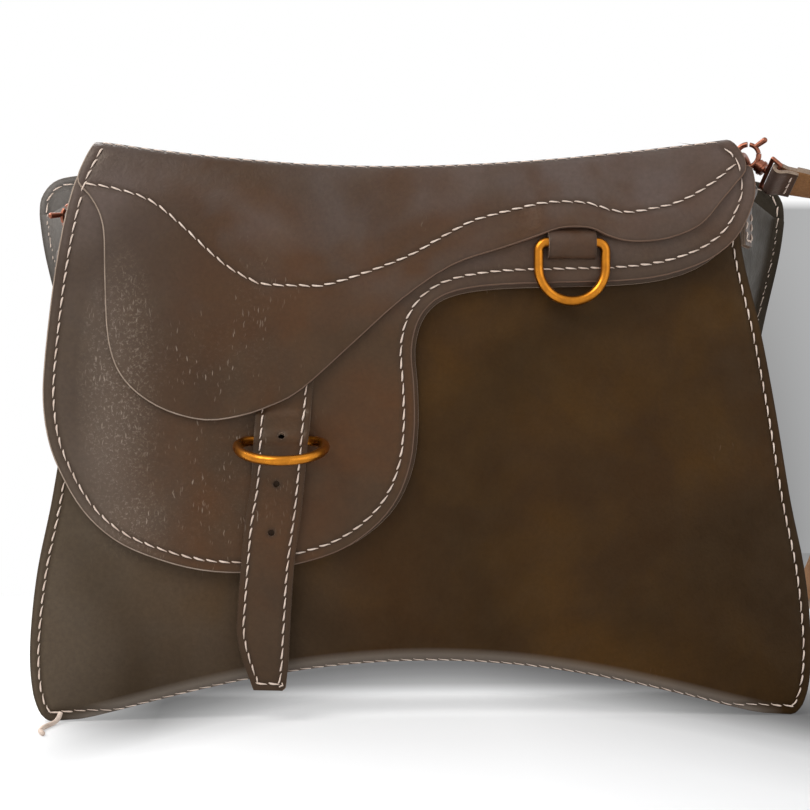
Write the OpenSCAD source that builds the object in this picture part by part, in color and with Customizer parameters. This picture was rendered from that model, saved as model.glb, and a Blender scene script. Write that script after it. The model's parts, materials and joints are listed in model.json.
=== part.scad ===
// Saddle handbag, standing on its lower corners. Millimetres, +Z up, the front faces -Y.
// The origin is under the middle of the bag, on the surface that it stands on.

/* [Bag body] */
// Width across the lower corners
body_w = 307; // [290:1:330]
// Height of the top corners above the base
body_h = 224.6; // [215:0.1:235]
// Depth over the front and back panels
body_d = 66; // [60:1:80]
// Thickness of the two panels
panel_t = 2.4; // [2:0.1:3]
// Thickness of the gusset leather
gusset_t = 2; // [1.6:0.1:2.4]
// Distance from a panel's edge to the gusset wall
seam_margin = 4; // [3:0.5:6]
// How far the middle of the top edge dips
top_dip = 9; // [6:0.5:12]
// Rise of the arched bottom edge at its middle
arch_rise = 22.5; // [16:0.5:28]

/* [Flap] */
// Thickness of the flap's outer leather
flap_t = 2.2; // [1.8:0.1:2.6]
// Thickness of the flap's lining leather
lining_t = 1.8; // [1.6:0.1:2.2]
// Thickness of the seat skirt
skirt_t = 2.2; // [2:0.1:2.6]
// Thickness of the spine that covers the top
spine_t = 2.4; // [2:0.1:3]
// How far the spine's ends stay inside the gusset's wall
spine_end_gap = 1; // [0.5:0.1:4]
// How far the lining's edge stays inside the flap's edge
lining_inset = 0.6; // [0.4:0.1:1]

/* [Closing strap] */
// Thickness of each of the strap's two layers
strap_layer_t = 1.5; // [1.2:0.1:1.8]
// Thickness of a leather end where it is tucked under the skirt
tuck_t = 1; // [0.6:0.1:1.2]
// Diameter of the strap's holes
hole_d = 2.6; // [2:0.1:3.2]
// Distance from one hole to the next
hole_pitch = 18.7; // [16:0.1:20]
// Height of the top hole, as a share of the body's height
hole_top_share = 0.4933; // [0.48:0.0001:0.5]
// Number of holes
hole_count = 3; // [1:1:4]
// Lean of the strap from the vertical
strap_lean = 6; // [5:0.5:7]

/* [Brass rings] */
// Wire diameter of the closure ring and the front ring
ring_wire = 3.8; // [3:0.1:4]
// Width of the closure ring across its wire centres
closure_w = 33; // [30:0.5:36]
// Length of the closure ring from its bar to its bow, at wire centres
closure_len = 24; // [22:0.5:28]
// Rounding of its two corners, along the wire's middle
closure_corner = 6.5; // [3:0.5:7]
// Droop of the closure ring below level, at rest
closure_droop = 17; // [10:1:25]
// Height of the closure ring's bar, as a share of the body's height
closure_share = 0.4844; // [0.47:0.0001:0.5]
// Width of the front ring across its wire centres
front_ring_w = 26.1; // [24:0.1:28]
// Length of the front ring from its bar to its bow, at wire centres
front_ring_len = 22.7; // [20:0.1:26]
// Rounding of its two corners
front_corner = 3.4; // [2:0.1:3.6]
// Radial play of a ring's bar in its leather
ring_fit = 0.08; // [0.02:0.01:0.1]
// Thickness of the leather around a ring's bar
wrap_t = 1; // [0.8:0.1:1.2]
// Width of the chape that holds the closure ring
chape_w = 16; // [12:0.5:18]
// Width of the tab that holds the front ring
tab_w = 18.5; // [16:0.5:20]

/* [Side rings and clips] */
// Wire diameter of a side ring
side_wire = 2.2; // [2:0.1:3]
// Width of a side ring across its wire centres
side_ring_w = 17; // [15:0.5:19]
// Length of a side ring from its bar to its bow, at wire centres
side_ring_len = 13.5; // [12:0.5:15]
// Rounding of their corners
side_corner = 2.2; // [1.2:0.1:2.4]
// Width of the tab that holds a side ring
side_tab_w = 12; // [9:0.5:13]
// Height of a side ring's bar, as a share of the body's height
side_bar_share = 0.935; // [0.92:0.001:0.95]
// Radius of a clip's hook, at its wire centre
hook_r = 4.6; // [4.4:0.1:5]
// Wire diameter of a clip's hook
hook_wire = 2.2; // [1.8:0.1:2.4]
// Diameter of the clip's collar
collar_d = 5.4; // [5:0.1:6.5]

/* [Shoulder strap] */
// Width of the shoulder strap
shoulder_w = 16; // [14:0.5:20]
// Thickness of the shoulder strap
shoulder_t = 2.6; // [2:0.1:3.2]

/* [Magnetic snap] */
// Diameter of a snap disc
snap_d = 14; // [12:0.5:18]
// Thickness of the washer behind the front panel
washer_t = 0.8; // [0.5:0.1:1.2]

/* [Hidden] */
$fn = 48;
// One overrun serves every cut
over = 1;
// Colours, as the photo shows them
leather = "#5a4638";
dark_leather = "#3c3028";
flesh_leather = "#8b6038";
brass = "#d08a20";
copper = "#8a5a48";
steel = "#9a9a98";
thread = "#e9dcc8";

// Smooth curve through a list of points
function curve(p, n) = concat(
  [for (i = [0 : len(p) - 2], k = [0 : n - 1])
    let (a = p[max(i - 1, 0)], b = p[i], c = p[i + 1], d = p[min(i + 2, len(p) - 1)], t = k / n)
    0.5 * (2 * b + (c - a) * t + (2 * a - 5 * b + 4 * c - d) * t * t
      + (3 * b - a - 3 * c + d) * t * t * t)],
  [p[len(p) - 1]]);
function place(shares) = [for (s = shares) [s[0] * body_w, s[1] * body_h]];
function flipped(p) = [for (i = [len(p) - 1 : -1 : 0]) [-p[i][0], p[i][1]]];
function grounded(p) = [for (q = p) [q[0], max(q[1], 0)]];
function unit(v) = v / norm(v);
// The outline p moved by d to the left of its direction
function inset(p, d) = [for (i = [0 : len(p) - 1])
  let (t = unit(p[min(i + 1, len(p) - 1)] - p[max(i - 1, 0)])) p[i] + d * [-t[1], t[0]]];
// The same for a closed outline
function inset_loop(p, d) = let (n = len(p)) [for (i = [0 : n - 1])
  let (t = unit(p[(i + 1) % n] - p[(i + n - 1) % n])) p[i] + d * [-t[1], t[0]]];
// Height of the top edge at x
top_half_share = 0.404;
top_half = top_half_share * body_w;
spine_half = top_half - seam_margin - spine_end_gap;
hole_top_z = hole_top_share * body_h;
closure_z = closure_share * body_h;
side_bar_z = side_bar_share * body_h;
function top_z(x) = body_h - top_dip * (1 - min(1, pow(x / top_half, 2)));
// A row of points along the top edge, from x1 to x2, drop below it
top_steps = 16;
function top_row(x1, x2, drop) = [for (k = [0 : top_steps])
  let (x = x1 + (x2 - x1) * k / top_steps) [x, top_z(x) - drop]];
// A flat sheet with outline p in the XZ plane, from y1 forward to y2
module sheet(p, y1, y2) {
  translate([0, max(y1, y2), 0]) rotate([90, 0, 0]) linear_extrude(abs(y1 - y2)) polygon(p);
}
module slab(y1, y2) {
  translate([0, max(y1, y2), 0]) rotate([90, 0, 0]) linear_extrude(abs(y1 - y2)) children();
}

// Layers from back to front. The closure ring stands out in front, so the panels are set back
// until the whole bag is centred on the origin.
layer_gap = 0.6;
bar_r = ring_wire / 2;
wrap_r = bar_r + ring_fit + wrap_t;
ring_reach = layer_gap + lining_t + flap_t + wrap_r + closure_len * cos(closure_droop) + bar_r;
back_y = (body_d + ring_reach) / 2;
front_y = back_y - body_d;
lining_y = front_y - layer_gap;
flap_y = lining_y - lining_t;
skirt_y = flap_y - flap_t;
// Gap over the panels' top edges
top_gap = 0.5;

// Right side of the front and back panels, from the top corner to the foot
front_side_shares = [[0.404, 0.953], [0.408, 0.824], [0.433, 0.677], [0.453, 0.534],
  [0.472, 0.378], [0.490, 0.258], [0.499, 0.138], [0.497, 0.062], [0.488, 0.018], [0.476, 0]];
back_side_shares = [[0.517, 0.900], [0.509, 0.824], [0.484, 0.677], [0.469, 0.534],
  [0.471, 0.378], [0.482, 0.258], [0.492, 0.138], [0.493, 0.062], [0.487, 0.018], [0.476, 0]];
// The back panel's rounded ear above that
ear_shares = [[0.414, 0.984], [0.459, 0.977], [0.495, 0.966], [0.514, 0.935], [0.517, 0.900]];
side_steps = 3;
foot_inner_share = 0.45;
arch_power = 1.25;
arch_steps = 12;
function arch(x) = arch_rise * pow(max(0, 1 - pow(x / (foot_inner_share * body_w), 2)), arch_power);
arch_path = [for (k = [-arch_steps : arch_steps])
  let (x = -foot_inner_share * body_w * k / arch_steps) [x, arch(x)]];
front_side = grounded(curve(place(front_side_shares), side_steps));
back_side = grounded(curve(place(back_side_shares), side_steps));
front_path = concat(front_side, arch_path, flipped(front_side));
back_path = concat(back_side, arch_path, flipped(back_side));
ear = curve(place(ear_shares), side_steps);
panel_drop = spine_t + top_gap;
front_outline = concat(front_path, top_row(-spine_half, spine_half, panel_drop));
back_outline = concat(back_path, flipped(ear), top_row(-spine_half, spine_half, panel_drop), ear);

// The gusset: a U-shaped strip whose flanges lie against the panels
flange_reach = 0.9 * seam_margin;
gusset_y1 = front_y + panel_t;
gusset_y2 = back_y - panel_t;
front_wall = inset(front_path, -(seam_margin + gusset_t));
back_wall = inset(back_path, -(seam_margin + gusset_t));
front_out = inset(front_path, -seam_margin);
back_out = inset(back_path, -seam_margin);
front_rim = inset(front_path, -(seam_margin - flange_reach));
back_rim = inset(back_path, -(seam_margin - flange_reach));
function at_y(q, y) = [q[0], y, q[1]];
function gusset_ring(i) = [
  at_y(front_wall[i], gusset_y1), at_y(back_wall[i], gusset_y2),
  at_y(back_rim[i], gusset_y2), at_y(back_rim[i], gusset_y2 - gusset_t),
  at_y(back_out[i], gusset_y2 - gusset_t), at_y(front_out[i], gusset_y1 + gusset_t),
  at_y(front_rim[i], gusset_y1 + gusset_t), at_y(front_rim[i], gusset_y1)];
module gusset(i1, i2) {
  n = 8;
  outer_k = 4;
  last = (i2 - i1) * n;
  cap = [[0, 5, 6, 7], [0, 1, 4, 5], [1, 2, 3, 4]];
  polyhedron(
    points = [for (i = [i1 : i2]) each gusset_ring(i)],
    faces = concat(
      [for (i = [0 : i2 - i1 - 1], k = [0 : n - 1])
        let (m = (k + 1) % n, a = i * n + k, b = i * n + m)
        each k == outer_k ? [[a, b, a + n], [b, b + n, a + n]] : [[a, b, b + n], [a, b + n, a + n]]],
      [for (c = cap) each [[c[2], c[1], c[0]], [c[3], c[2], c[0]]]],
      [for (c = cap) each [[c[0] + last, c[1] + last, c[2] + last],
        [c[0] + last, c[2] + last, c[3] + last]]]));
}
corner_i = len(front_side) - 1;
far_corner_i = len(front_path) - len(front_side);

module front_panel() {
  color(leather) difference() {
    sheet(front_outline, front_y, front_y + panel_t);
    snap_hole(front_y + panel_t + over, front_y - over);
  }
}
module back_panel() {
  color(dark_leather) sheet(back_outline, back_y - panel_t, back_y);
}
module gusset_left() {
  color(dark_leather) gusset(far_corner_i, len(front_path) - 1);
}
module gusset_right() {
  color(dark_leather) gusset(0, corner_i);
}
module gusset_bottom() {
  color(dark_leather) gusset(corner_i, far_corner_i);
}

// Outlines of the flap and of the seat skirt, without their top edge, from the left corner
flap_shares = [[-0.419, 0.995], [-0.443, 0.919], [-0.460, 0.814], [-0.471, 0.710],
  [-0.479, 0.599], [-0.479, 0.538], [-0.4725, 0.483], [-0.460, 0.436], [-0.438, 0.380],
  [-0.413, 0.339], [-0.380, 0.3055], [-0.335, 0.280], [-0.2845, 0.262], [-0.2275, 0.257],
  [-0.170, 0.269], [-0.113, 0.292], [-0.071, 0.328], [-0.039, 0.377], [-0.020, 0.441],
  [-0.014, 0.5105], [-0.015, 0.580], [-0.018, 0.641], [-0.009, 0.693], [0.013, 0.7275],
  [0.046, 0.745], [0.0965, 0.7535], [0.173, 0.757], [0.249, 0.7605], [0.306, 0.771],
  [0.3595, 0.797], [0.395, 0.835], [0.415, 0.884], [0.422, 0.922], [0.418, 0.957],
  [0.4065, 0.986], [0.395, 1]];
skirt_shares = [[-0.419, 0.995], [-0.431, 0.960], [-0.437, 0.929], [-0.422, 0.903],
  [-0.410, 0.875], [-0.404, 0.840], [-0.403, 0.780], [-0.401, 0.693], [-0.396, 0.641],
  [-0.384, 0.599], [-0.361, 0.564], [-0.325, 0.535], [-0.278, 0.519], [-0.234, 0.526],
  [-0.196, 0.543], [-0.1575, 0.571], [-0.094, 0.649], [-0.0305, 0.7275], [0.033, 0.7865],
  [0.0965, 0.816], [0.147, 0.840], [0.168, 0.850], [0.192, 0.8525], [0.211, 0.849],
  [0.230, 0.837], [0.262, 0.828], [0.306, 0.8335], [0.349, 0.858], [0.3785, 0.908],
  [0.396, 0.941], [0.404, 0.970], [0.395, 1]];
outline_steps = 2;
top_left = -0.405 * body_w;
top_right = 0.385 * body_w;
function closed_top(shares) =
  concat(curve(place(shares), outline_steps), top_row(top_right, top_left, 0));
flap_outline = closed_top(flap_shares);
skirt_outline = closed_top(skirt_shares);

module flap_spine() {
  color(leather) sheet(concat(top_row(-spine_half, spine_half, 0),
    top_row(spine_half, -spine_half, spine_t)), front_y, back_y);
}
module flap() {
  color(leather) sheet(flap_outline, flap_y, skirt_y);
}
module flap_lining() {
  lining_outline = inset_loop(flap_outline, lining_inset);
  color(flesh_leather) difference() {
    sheet(lining_outline, lining_y, flap_y);
    snap_hole(lining_y + over, flap_y - over);
  }
}

// The closing strap: an outline in the XZ plane, and a hump that lifts it over the ring's bar
strap_left_shares = [[-0.2115, 0.580], [-0.2135, 0.545], [-0.220, 0.413], [-0.2285, 0.337],
  [-0.236, 0.208], [-0.2375, 0.156], [-0.231, 0.111], [-0.217, 0.057]];
strap_right_shares = [[-0.178, 0.0555], [-0.174, 0.094], [-0.1715, 0.156], [-0.1665, 0.266],
  [-0.1575, 0.359], [-0.152, 0.436], [-0.147, 0.5105], [-0.142, 0.590]];
tuck_clear = 0.3;
tuck_drop = 0.8;
module strap_shape(wider) {
  polygon(concat(
    [for (q = place(strap_left_shares)) q + [-wider, 0]],
    [for (q = place(strap_right_shares)) q + [wider, 0]]));
}
bar_y = skirt_y - wrap_r;
hump_half = 13;
hump_h = 2 * wrap_r + 0.2 * ring_wire;
hump_steps = 12;
function hump(z) = abs(z - closure_z) > hump_half ? 0
  : hump_h * pow(cos(90 * (z - closure_z) / hump_half), 2);
hump_zs = concat([0], [for (k = [-hump_steps : hump_steps]) closure_z + hump_half * k / hump_steps],
  [body_h]);
// One layer of the strap, whose faces stand off the flap by from and to
module strap_layer(from, to) {
  difference() {
    intersection() {
      slab(skirt_y + over, skirt_y - hump_h - to - over) strap_shape(0);
      rotate([0, -90, 0]) linear_extrude(body_w / 2)
        polygon(concat(
          [for (z = hump_zs) [z, skirt_y - hump(z) - from]],
          [for (i = [len(hump_zs) - 1 : -1 : 0]) [hump_zs[i], skirt_y - hump(hump_zs[i]) - to]]));
    }
    translate([0, 0, -tuck_drop])
      sheet(skirt_outline, skirt_y - tuck_t, skirt_y - hump_h - to - over);
    for (k = [0 : hole_count - 1]) strap_hole(hole_top_z - k * hole_pitch);
  }
}
hole_x = -0.182 * body_w;
module strap_hole(z) {
  x = hole_x + (z - hole_top_z) * tan(strap_lean);
  translate([x, skirt_y + over, z]) rotate([90, 0, 0])
    cylinder(h = hump_h + 2 * strap_layer_t + 2 * over, d = hole_d);
}
module closing_strap() {
  color(leather) difference() {
    union() {
      strap_layer(strap_layer_t, 2 * strap_layer_t);
      strap_tuck();
    }
    for (k = [0 : hole_count - 1]) strap_hole(hole_top_z - k * hole_pitch);
  }
}
module closing_strap_lining() {
  color(flesh_leather) difference() {
    strap_layer(0, strap_layer_t);
    sheet(skirt_reach, skirt_y + over, skirt_y - hump_h - over);
  }
}
// Where the strap goes thin, just below the skirt's edge
skive = 2;
skirt_reach = [for (q = skirt_outline) q - [0, skive]];
module strap_tuck() {
  intersection() {
    slab(skirt_y, skirt_y - tuck_t) strap_shape(0);
    sheet(skirt_reach, skirt_y, skirt_y - tuck_t);
  }
  intersection() {
    slab(skirt_y, skirt_y - 2 * strap_layer_t) strap_shape(0);
    difference() {
      sheet(skirt_reach, skirt_y, skirt_y - 2 * strap_layer_t);
      translate([0, 0, -tuck_drop]) sheet(skirt_outline, skirt_y + over, skirt_y - body_d);
    }
  }
}
tab_x = 0.184 * body_w;
front_bar_z = 0.826 * body_h;
tab_low = 6.2;
tab_tuck_top = 12;
module seat_skirt() {
  color(leather) difference() {
    sheet(skirt_outline, skirt_y, skirt_y - skirt_t);
    slab(skirt_y + over, skirt_y - tuck_t - 0.1 * tuck_t) offset_strap();
    translate([tab_x - tab_w / 2 - tuck_clear, skirt_y - tuck_t - 0.1 * tuck_t, front_bar_z - tab_low])
      cube([tab_w + 2 * tuck_clear, tuck_t + 0.1 * tuck_t + over, tab_low + tab_tuck_top + tuck_clear]);
  }
}
module offset_strap() {
  strap_shape(tuck_clear);
  translate([0, tuck_clear]) strap_shape(tuck_clear);
}

// A D-shaped ring: bar along X at the origin, bow hanging towards -Z
module d_ring(width, length, wire, corner) {
  side = length - width / 2;
  r = wire / 2;
  bend = min(corner, side);
  half = width / 2 - bend;
  translate([-half, 0, 0]) rotate([0, 90, 0]) cylinder(h = 2 * half, r = r);
  for (s = [0, 1]) mirror([s, 0, 0]) {
    translate([half, 0, -bend]) rotate([90, 0, 0]) rotate_extrude(angle = 90)
      translate([bend, 0]) circle(r = r);
    if (side > bend) translate([width / 2, 0, -side]) cylinder(h = side - bend, r = r);
  }
  translate([0, 0, -side]) rotate([90, 0, 0]) rotate([0, 0, 180])
    rotate_extrude(angle = 180) translate([width / 2, 0]) circle(r = r);
}
closure_x = hole_x;
module closure_ring() {
  color(brass) translate([closure_x, bar_y, closure_z])
    rotate([closure_droop - 90, 0, 0]) d_ring(closure_w, closure_len, ring_wire, closure_corner);
}
module front_ring() {
  color(brass) translate([tab_x, bar_y, front_bar_z])
    d_ring(front_ring_w, front_ring_len, ring_wire, front_corner);
}
// Leather wrapped round a ring's bar, with a flat tail below and above it
module wrap(width, below, above, tail_t) {
  difference() {
    union() {
      translate([-width / 2, 0, 0]) rotate([0, 90, 0]) cylinder(h = width, r = wrap_r);
      translate([-width / 2, wrap_r - tail_t, -below]) cube([width, tail_t, below + above]);
    }
    translate([-width / 2 - over, 0, 0]) rotate([0, 90, 0])
      cylinder(h = width + 2 * over, r = bar_r + ring_fit);
  }
}
chape_tail = 7;
module closure_chape() {
  color(dark_leather) translate([closure_x, bar_y, closure_z])
    wrap(chape_w, chape_tail, chape_tail, wrap_t);
}
module front_ring_tab() {
  color(leather) difference() {
    translate([tab_x, bar_y, front_bar_z]) wrap(tab_w, tab_low, tab_tuck_top, 2 * wrap_t);
    translate([0, 0, -tuck_drop])
      sheet(skirt_outline, skirt_y - tuck_t, skirt_y - 2 * wrap_r - over);
  }
}

// Side rings: the wall's outer face where a tab is sewn
tab_share = 0.27;
side_tab_y = front_y + tab_share * body_d;
// Where the wall meets the front and the back panel at that height, as shares of the width
wall_front_share = 0.406;
wall_back_share = 0.514;
wall_x = ((1 - tab_share) * wall_front_share + tab_share * wall_back_share) * body_w - seam_margin;
flare = atan2((wall_back_share - wall_front_share) * body_w, body_d);
side_bar_r = side_wire / 2;
side_wrap_r = side_bar_r + ring_fit + wrap_t;
wall_gap = 0.4;
side_tab_len = 24;
// Lean of each ring from upright, outwards
right_lean = -10;
left_lean = 155;
// Everything here is drawn at the ring's bar: X outwards, Y along the bar
module at_side(side) {
  mirror([side < 0 ? 1 : 0, 0, 0]) translate([wall_x, side_tab_y, side_bar_z])
    rotate([0, 0, -flare]) translate([side_wrap_r + wall_gap, 0, 0]) children();
}
module side_tab(side) {
  color(leather) at_side(side) difference() {
    union() {
      rotate([90, 0, 0]) cylinder(h = side_tab_w, r = side_wrap_r, center = true);
      translate([-side_wrap_r, -side_tab_w / 2, -side_tab_len])
        cube([2 * wrap_t, side_tab_w, side_tab_len]);
    }
    rotate([90, 0, 0])
      cylinder(h = side_tab_w + 2 * over, r = side_bar_r + ring_fit, center = true);
  }
}
module side_tab_left() {
  side_tab(-1);
}
module side_tab_right() {
  side_tab(1);
}
// A ring whose bow points lean degrees outwards from straight up
module side_ring(side, lean) {
  color(copper) at_side(side) rotate([0, lean, 0]) rotate([180, 0, 0]) rotate([0, 0, 90])
    d_ring(side_ring_w, side_ring_len, side_wire, side_corner);
}
module side_ring_left() {
  side_ring(-1, left_lean);
}
module side_ring_right() {
  side_ring(1, right_lean);
}

// A clip is drawn at its hook's centre: the hook lies in the XZ plane, the strap hangs to -Z.
// turn is how far its axis is swung outwards from straight down.
right_turn = -48;
left_turn = -8;
hook_seat = 1.4;
hook_shift = 0.8;
module at_clip(side) {
  lean = side < 0 ? left_lean : right_lean;
  turn = side < 0 ? left_turn : right_turn;
  at_side(side) rotate([0, lean, 0]) translate([0, 0, side_ring_len]) rotate([0, -lean, 0])
    rotate([0, turn, 0]) translate([hook_shift, 0, -hook_seat]) children();
}
gate_open = 42;
collar_top = -hook_r - hook_wire / 2;
collar_len = 3.5;
collar_low = collar_top - collar_len;
stem_r = 1;
stem_play = 0.08;
module hook(side) {
  color(copper) at_clip(side) difference() {
    union() {
      rotate([90, 0, 0]) rotate([0, 0, gate_open])
        rotate_extrude(angle = 360 - 2 * gate_open) translate([hook_r, 0]) circle(d = hook_wire);
      translate([0, 0, collar_low]) cylinder(h = collar_len, d = collar_d);
      translate([0, 0, collar_low + 0.3 * collar_len])
        cylinder(h = 0.25 * collar_len, d = 1.15 * collar_d);
      translate([0, 0, collar_top - 0.2 * hook_wire])
        cylinder(h = 0.5 * hook_wire, d = 1.4 * hook_wire);
    }
    translate([0, 0, collar_low - over])
      cylinder(h = 0.8 * collar_len + over, r = stem_r + stem_play);
  }
}
module hook_left() {
  hook(-1);
}
module hook_right() {
  hook(1);
}
// The gate closes the hook's gap and carries the thumb lever
// The gate stops a few degrees short of the hook at its hinge, and further at its free end, which
// has to swing in past the hook's tip
gate_wire = 1.8;
gate_gap = 4;
gate_free = 13;
lever_reach = 4.6;
lever_dip = 105;
module gate(side) {
  color(copper) at_clip(side) {
    rotate([90, 0, 0]) rotate([0, 0, gate_gap - gate_open])
      rotate_extrude(angle = 2 * gate_open - gate_gap - gate_free)
        translate([hook_r, 0]) circle(d = gate_wire);
    translate([hook_r, 0, 0]) rotate([0, lever_dip, 0])
      cylinder(h = lever_reach, d1 = gate_wire, d2 = 1.3 * gate_wire);
    translate([hook_r, 0, 0]) rotate([0, lever_dip, 0])
      translate([0, 0, lever_reach]) sphere(d = 1.3 * gate_wire);
  }
}
module hook_gate_left() {
  gate(-1);
}
module hook_gate_right() {
  gate(1);
}
// The eye swivels in the collar and holds the strap's folded end
eye_wire = 1.8;
eye_w = shoulder_w + 1.4 * eye_wire;
eye_top_z = collar_low - 0.8 * eye_wire;
// The strap's leather is pared thinner where it folds round the eye's bar
pared_share = 0.7;
pared_t = pared_share * shoulder_t;
fold_clear = 0.3;
fold_r = eye_wire / 2 + ring_fit + pared_t;
eye_bar_z = eye_top_z - eye_wire / 2 - fold_clear - fold_r;
// How far each eye has swivelled about the clip's axis, and how far each strap end has swung
// about the eye's bar
left_eye_swivel = 90;
right_eye_swivel = -50;
right_strap_swing = 35;
module at_eye(side) {
  at_clip(side) rotate([0, 0, side < 0 ? left_eye_swivel : right_eye_swivel]) children();
}
module swivel_eye(side) {
  color(copper) at_eye(side) {
    translate([0, 0, eye_top_z]) cylinder(h = 0.55 * collar_len - eye_top_z + collar_low, r = stem_r);
    for (z = [eye_top_z, eye_bar_z]) translate([-eye_w / 2, 0, z]) rotate([0, 90, 0])
      cylinder(h = eye_w, d = eye_wire);
    for (s = [-1, 1]) translate([s * eye_w / 2, 0, eye_bar_z]) {
      cylinder(h = eye_top_z - eye_bar_z, d = eye_wire);
      sphere(d = eye_wire);
      translate([0, 0, eye_top_z - eye_bar_z]) sphere(d = eye_wire);
    }
  }
}
module swivel_eye_left() {
  swivel_eye(-1);
}
module swivel_eye_right() {
  swivel_eye(1);
}
// The strap's end: folded round the eye's bar and sewn to itself
fold_len = 8;
fold_w = shoulder_w - 0.5 * eye_wire;
module strap_end(side) {
  color(leather) at_eye(side) translate([0, 0, eye_bar_z])
    rotate([side < 0 ? 0 : right_strap_swing, 0, 0]) difference() {
    union() {
      rotate([0, 90, 0]) cylinder(h = fold_w, r = fold_r, center = true);
      translate([-fold_w / 2, -pared_t, -fold_len]) cube([fold_w, 2 * pared_t, fold_len]);
    }
    rotate([0, 90, 0]) cylinder(h = fold_w + over, r = eye_wire / 2 + ring_fit, center = true);
  }
}
module strap_end_left() {
  strap_end(-1);
}
module strap_end_right() {
  strap_end(1);
}

// Route of the shoulder strap, from the right clip behind the bag to the left clip, and the
// direction in which its width lies at each point
strap_route = [
  [148.2, -4.8, 212.3], [154.1, -5.2, 211], [160.5, -4.5, 208.2], [167, -1.5, 202.3],
  [172.5, 5, 192.5], [176.3, 15, 177.5], [179.2, 28, 157], [182, 44, 130], [185, 62, 100],
  [187.5, 84, 67], [187.5, 105, 43], [183, 126, 25.5], [168, 150, 13],
  [142, 170, 8.6], [105, 182, 8.2], [60, 189, 8.2], [0, 192, 8.2], [-60, 188, 8.2],
  [-105, 176, 8.3], [-134, 156, 10.2], [-149, 130, 19.5], [-154, 100, 38], [-152, 72, 62],
  [-149, 50, 89], [-147, 30, 114], [-145.5, 13, 136], [-143.6, -0.5, 151],
  [-142, -4.2, 164], [-140.6, -4.5, 174.8]];
strap_face = [
  [-0.04, 0.88, -0.48], [-0.08, 0.9, -0.42], [-0.18, 0.95, -0.2], [-0.25, 0.96, 0.1],
  [-0.2, 0.92, 0.35], [-0.1, 0.87, 0.48], [0, 0.85, 0.52], [0, 0.83, 0.56], [0, 0.8, 0.6],
  [0, 0.72, 0.68], [0, 0.6, 0.8], [0, 0.42, 0.9], [0, 0.2, 1],
  [0, 0, 1], [0, 0, 1], [0, 0, 1], [0, 0, 1], [0, 0, 1],
  [0, 0, 1], [0, 0.15, 1], [0, 0.35, 0.9], [0, 0.55, 0.8], [0, 0.7, 0.7],
  [0, 0.8, 0.6], [-0.1, 0.85, 0.5], [-0.2, 0.9, 0.35], [-0.3, 0.9, 0.2],
  [-0.4, 0.9, 0.08], [-0.44, 0.9, 0]];
// Section of the strap: a flat bar with small bevels
bevel = 0.25 * shoulder_t;
strap_section = let (w = shoulder_w / 2, t = shoulder_t / 2)
  [[w, t - bevel], [w - bevel, t], [bevel - w, t], [-w, t - bevel],
  [-w, bevel - t], [bevel - w, -t], [w - bevel, -t], [w, bevel - t]];
function along(p, i) = unit(p[min(i + 1, len(p) - 1)] - p[max(i - 1, 0)]);
function across(t, h) = unit(h - t * (t * h));
function swept_ring(p, faces, section, i) =
  let (t = along(p, i), w = across(t, faces[i]), n = cross(t, w))
  [for (s = section) p[i] + w * s[0] + n * s[1]];
module swept(p, faces, section) {
  n = len(section);
  last = (len(p) - 1) * n;
  polyhedron(
    points = [for (i = [0 : len(p) - 1]) each swept_ring(p, faces, section, i)],
    faces = concat(
      [for (i = [0 : len(p) - 2], k = [0 : n - 1])
        let (m = (k + 1) % n)
        each [[i * n + k, i * n + n + m, i * n + m], [i * n + k, i * n + n + k, i * n + n + m]]],
      [[for (k = [0 : n - 1]) k]],
      [[for (k = [n - 1 : -1 : 0]) last + k]]));
}
module shoulder_strap() {
  color(flesh_leather) swept(strap_route, strap_face, strap_section);
}
// The loose end of the sewing thread, at the lower left corner
thread_d = 2;
thread_route = [
  [-141, -17.9, 4], [-141.4, -19.3, 2.4], [-142.4, -22.8, 1.2], [-144, -29, 1.1],
  [-145.4, -35, 1.1], [-145.2, -41, 1.1], [-143.6, -46, 1.1]];
thread_face = [for (q = thread_route) [0, 0, 1]];
thread_section = [for (a = [0 : 45 : 315]) thread_d / 2 * [cos(a), sin(a)]];
module thread_tail() {
  color(thread) swept(thread_route, thread_face, thread_section);
}

// The magnetic snap: one disc in the front panel, one in the flap's lining
snap_x = -0.26 * body_w;
snap_z = 0.40 * body_h;
snap_clear = 0.1;
module snap_hole(y1, y2) {
  translate([snap_x, y1, snap_z]) rotate([90, 0, 0])
    cylinder(h = y1 - y2, d = snap_d + 2 * snap_clear);
}
module snap_disc(y1, y2) {
  color(steel) translate([snap_x, y1, snap_z]) rotate([90, 0, 0]) cylinder(h = y1 - y2, d = snap_d);
}
module snap_body_disc() {
  snap_disc(front_y + panel_t, front_y);
}
module snap_flap_disc() {
  snap_disc(lining_y, flap_y);
}
module snap_washer() {
  color(steel) translate([snap_x, front_y + panel_t + washer_t, snap_z]) rotate([90, 0, 0])
    cylinder(h = washer_t, d = 1.5 * snap_d);
}

front_panel();
back_panel();
gusset_left();
gusset_right();
gusset_bottom();
flap_spine();
flap();
flap_lining();
seat_skirt();
closing_strap();
closing_strap_lining();
closure_chape();
closure_ring();
front_ring_tab();
front_ring();
side_tab_left();
side_tab_right();
side_ring_left();
side_ring_right();
hook_left();
hook_right();
hook_gate_left();
hook_gate_right();
swivel_eye_left();
swivel_eye_right();
strap_end_left();
strap_end_right();
shoulder_strap();
snap_body_disc();
snap_flap_disc();
snap_washer();
thread_tail();
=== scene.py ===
# %% [markdown]
# # A saddle handbag in leather
# This lesson dresses a small saddle bag around its fixed frame. Every strap, panel and ring already
# has its place in the frame, so each piece here is modelled in millimetres at the same place and
# then turned to metres. The frame comes first.

# %% Load the frame
import json
import math
import random

import bpy
import numpy as np
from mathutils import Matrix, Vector, kdtree
from mathutils.geometry import delaunay_2d_cdt


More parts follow.
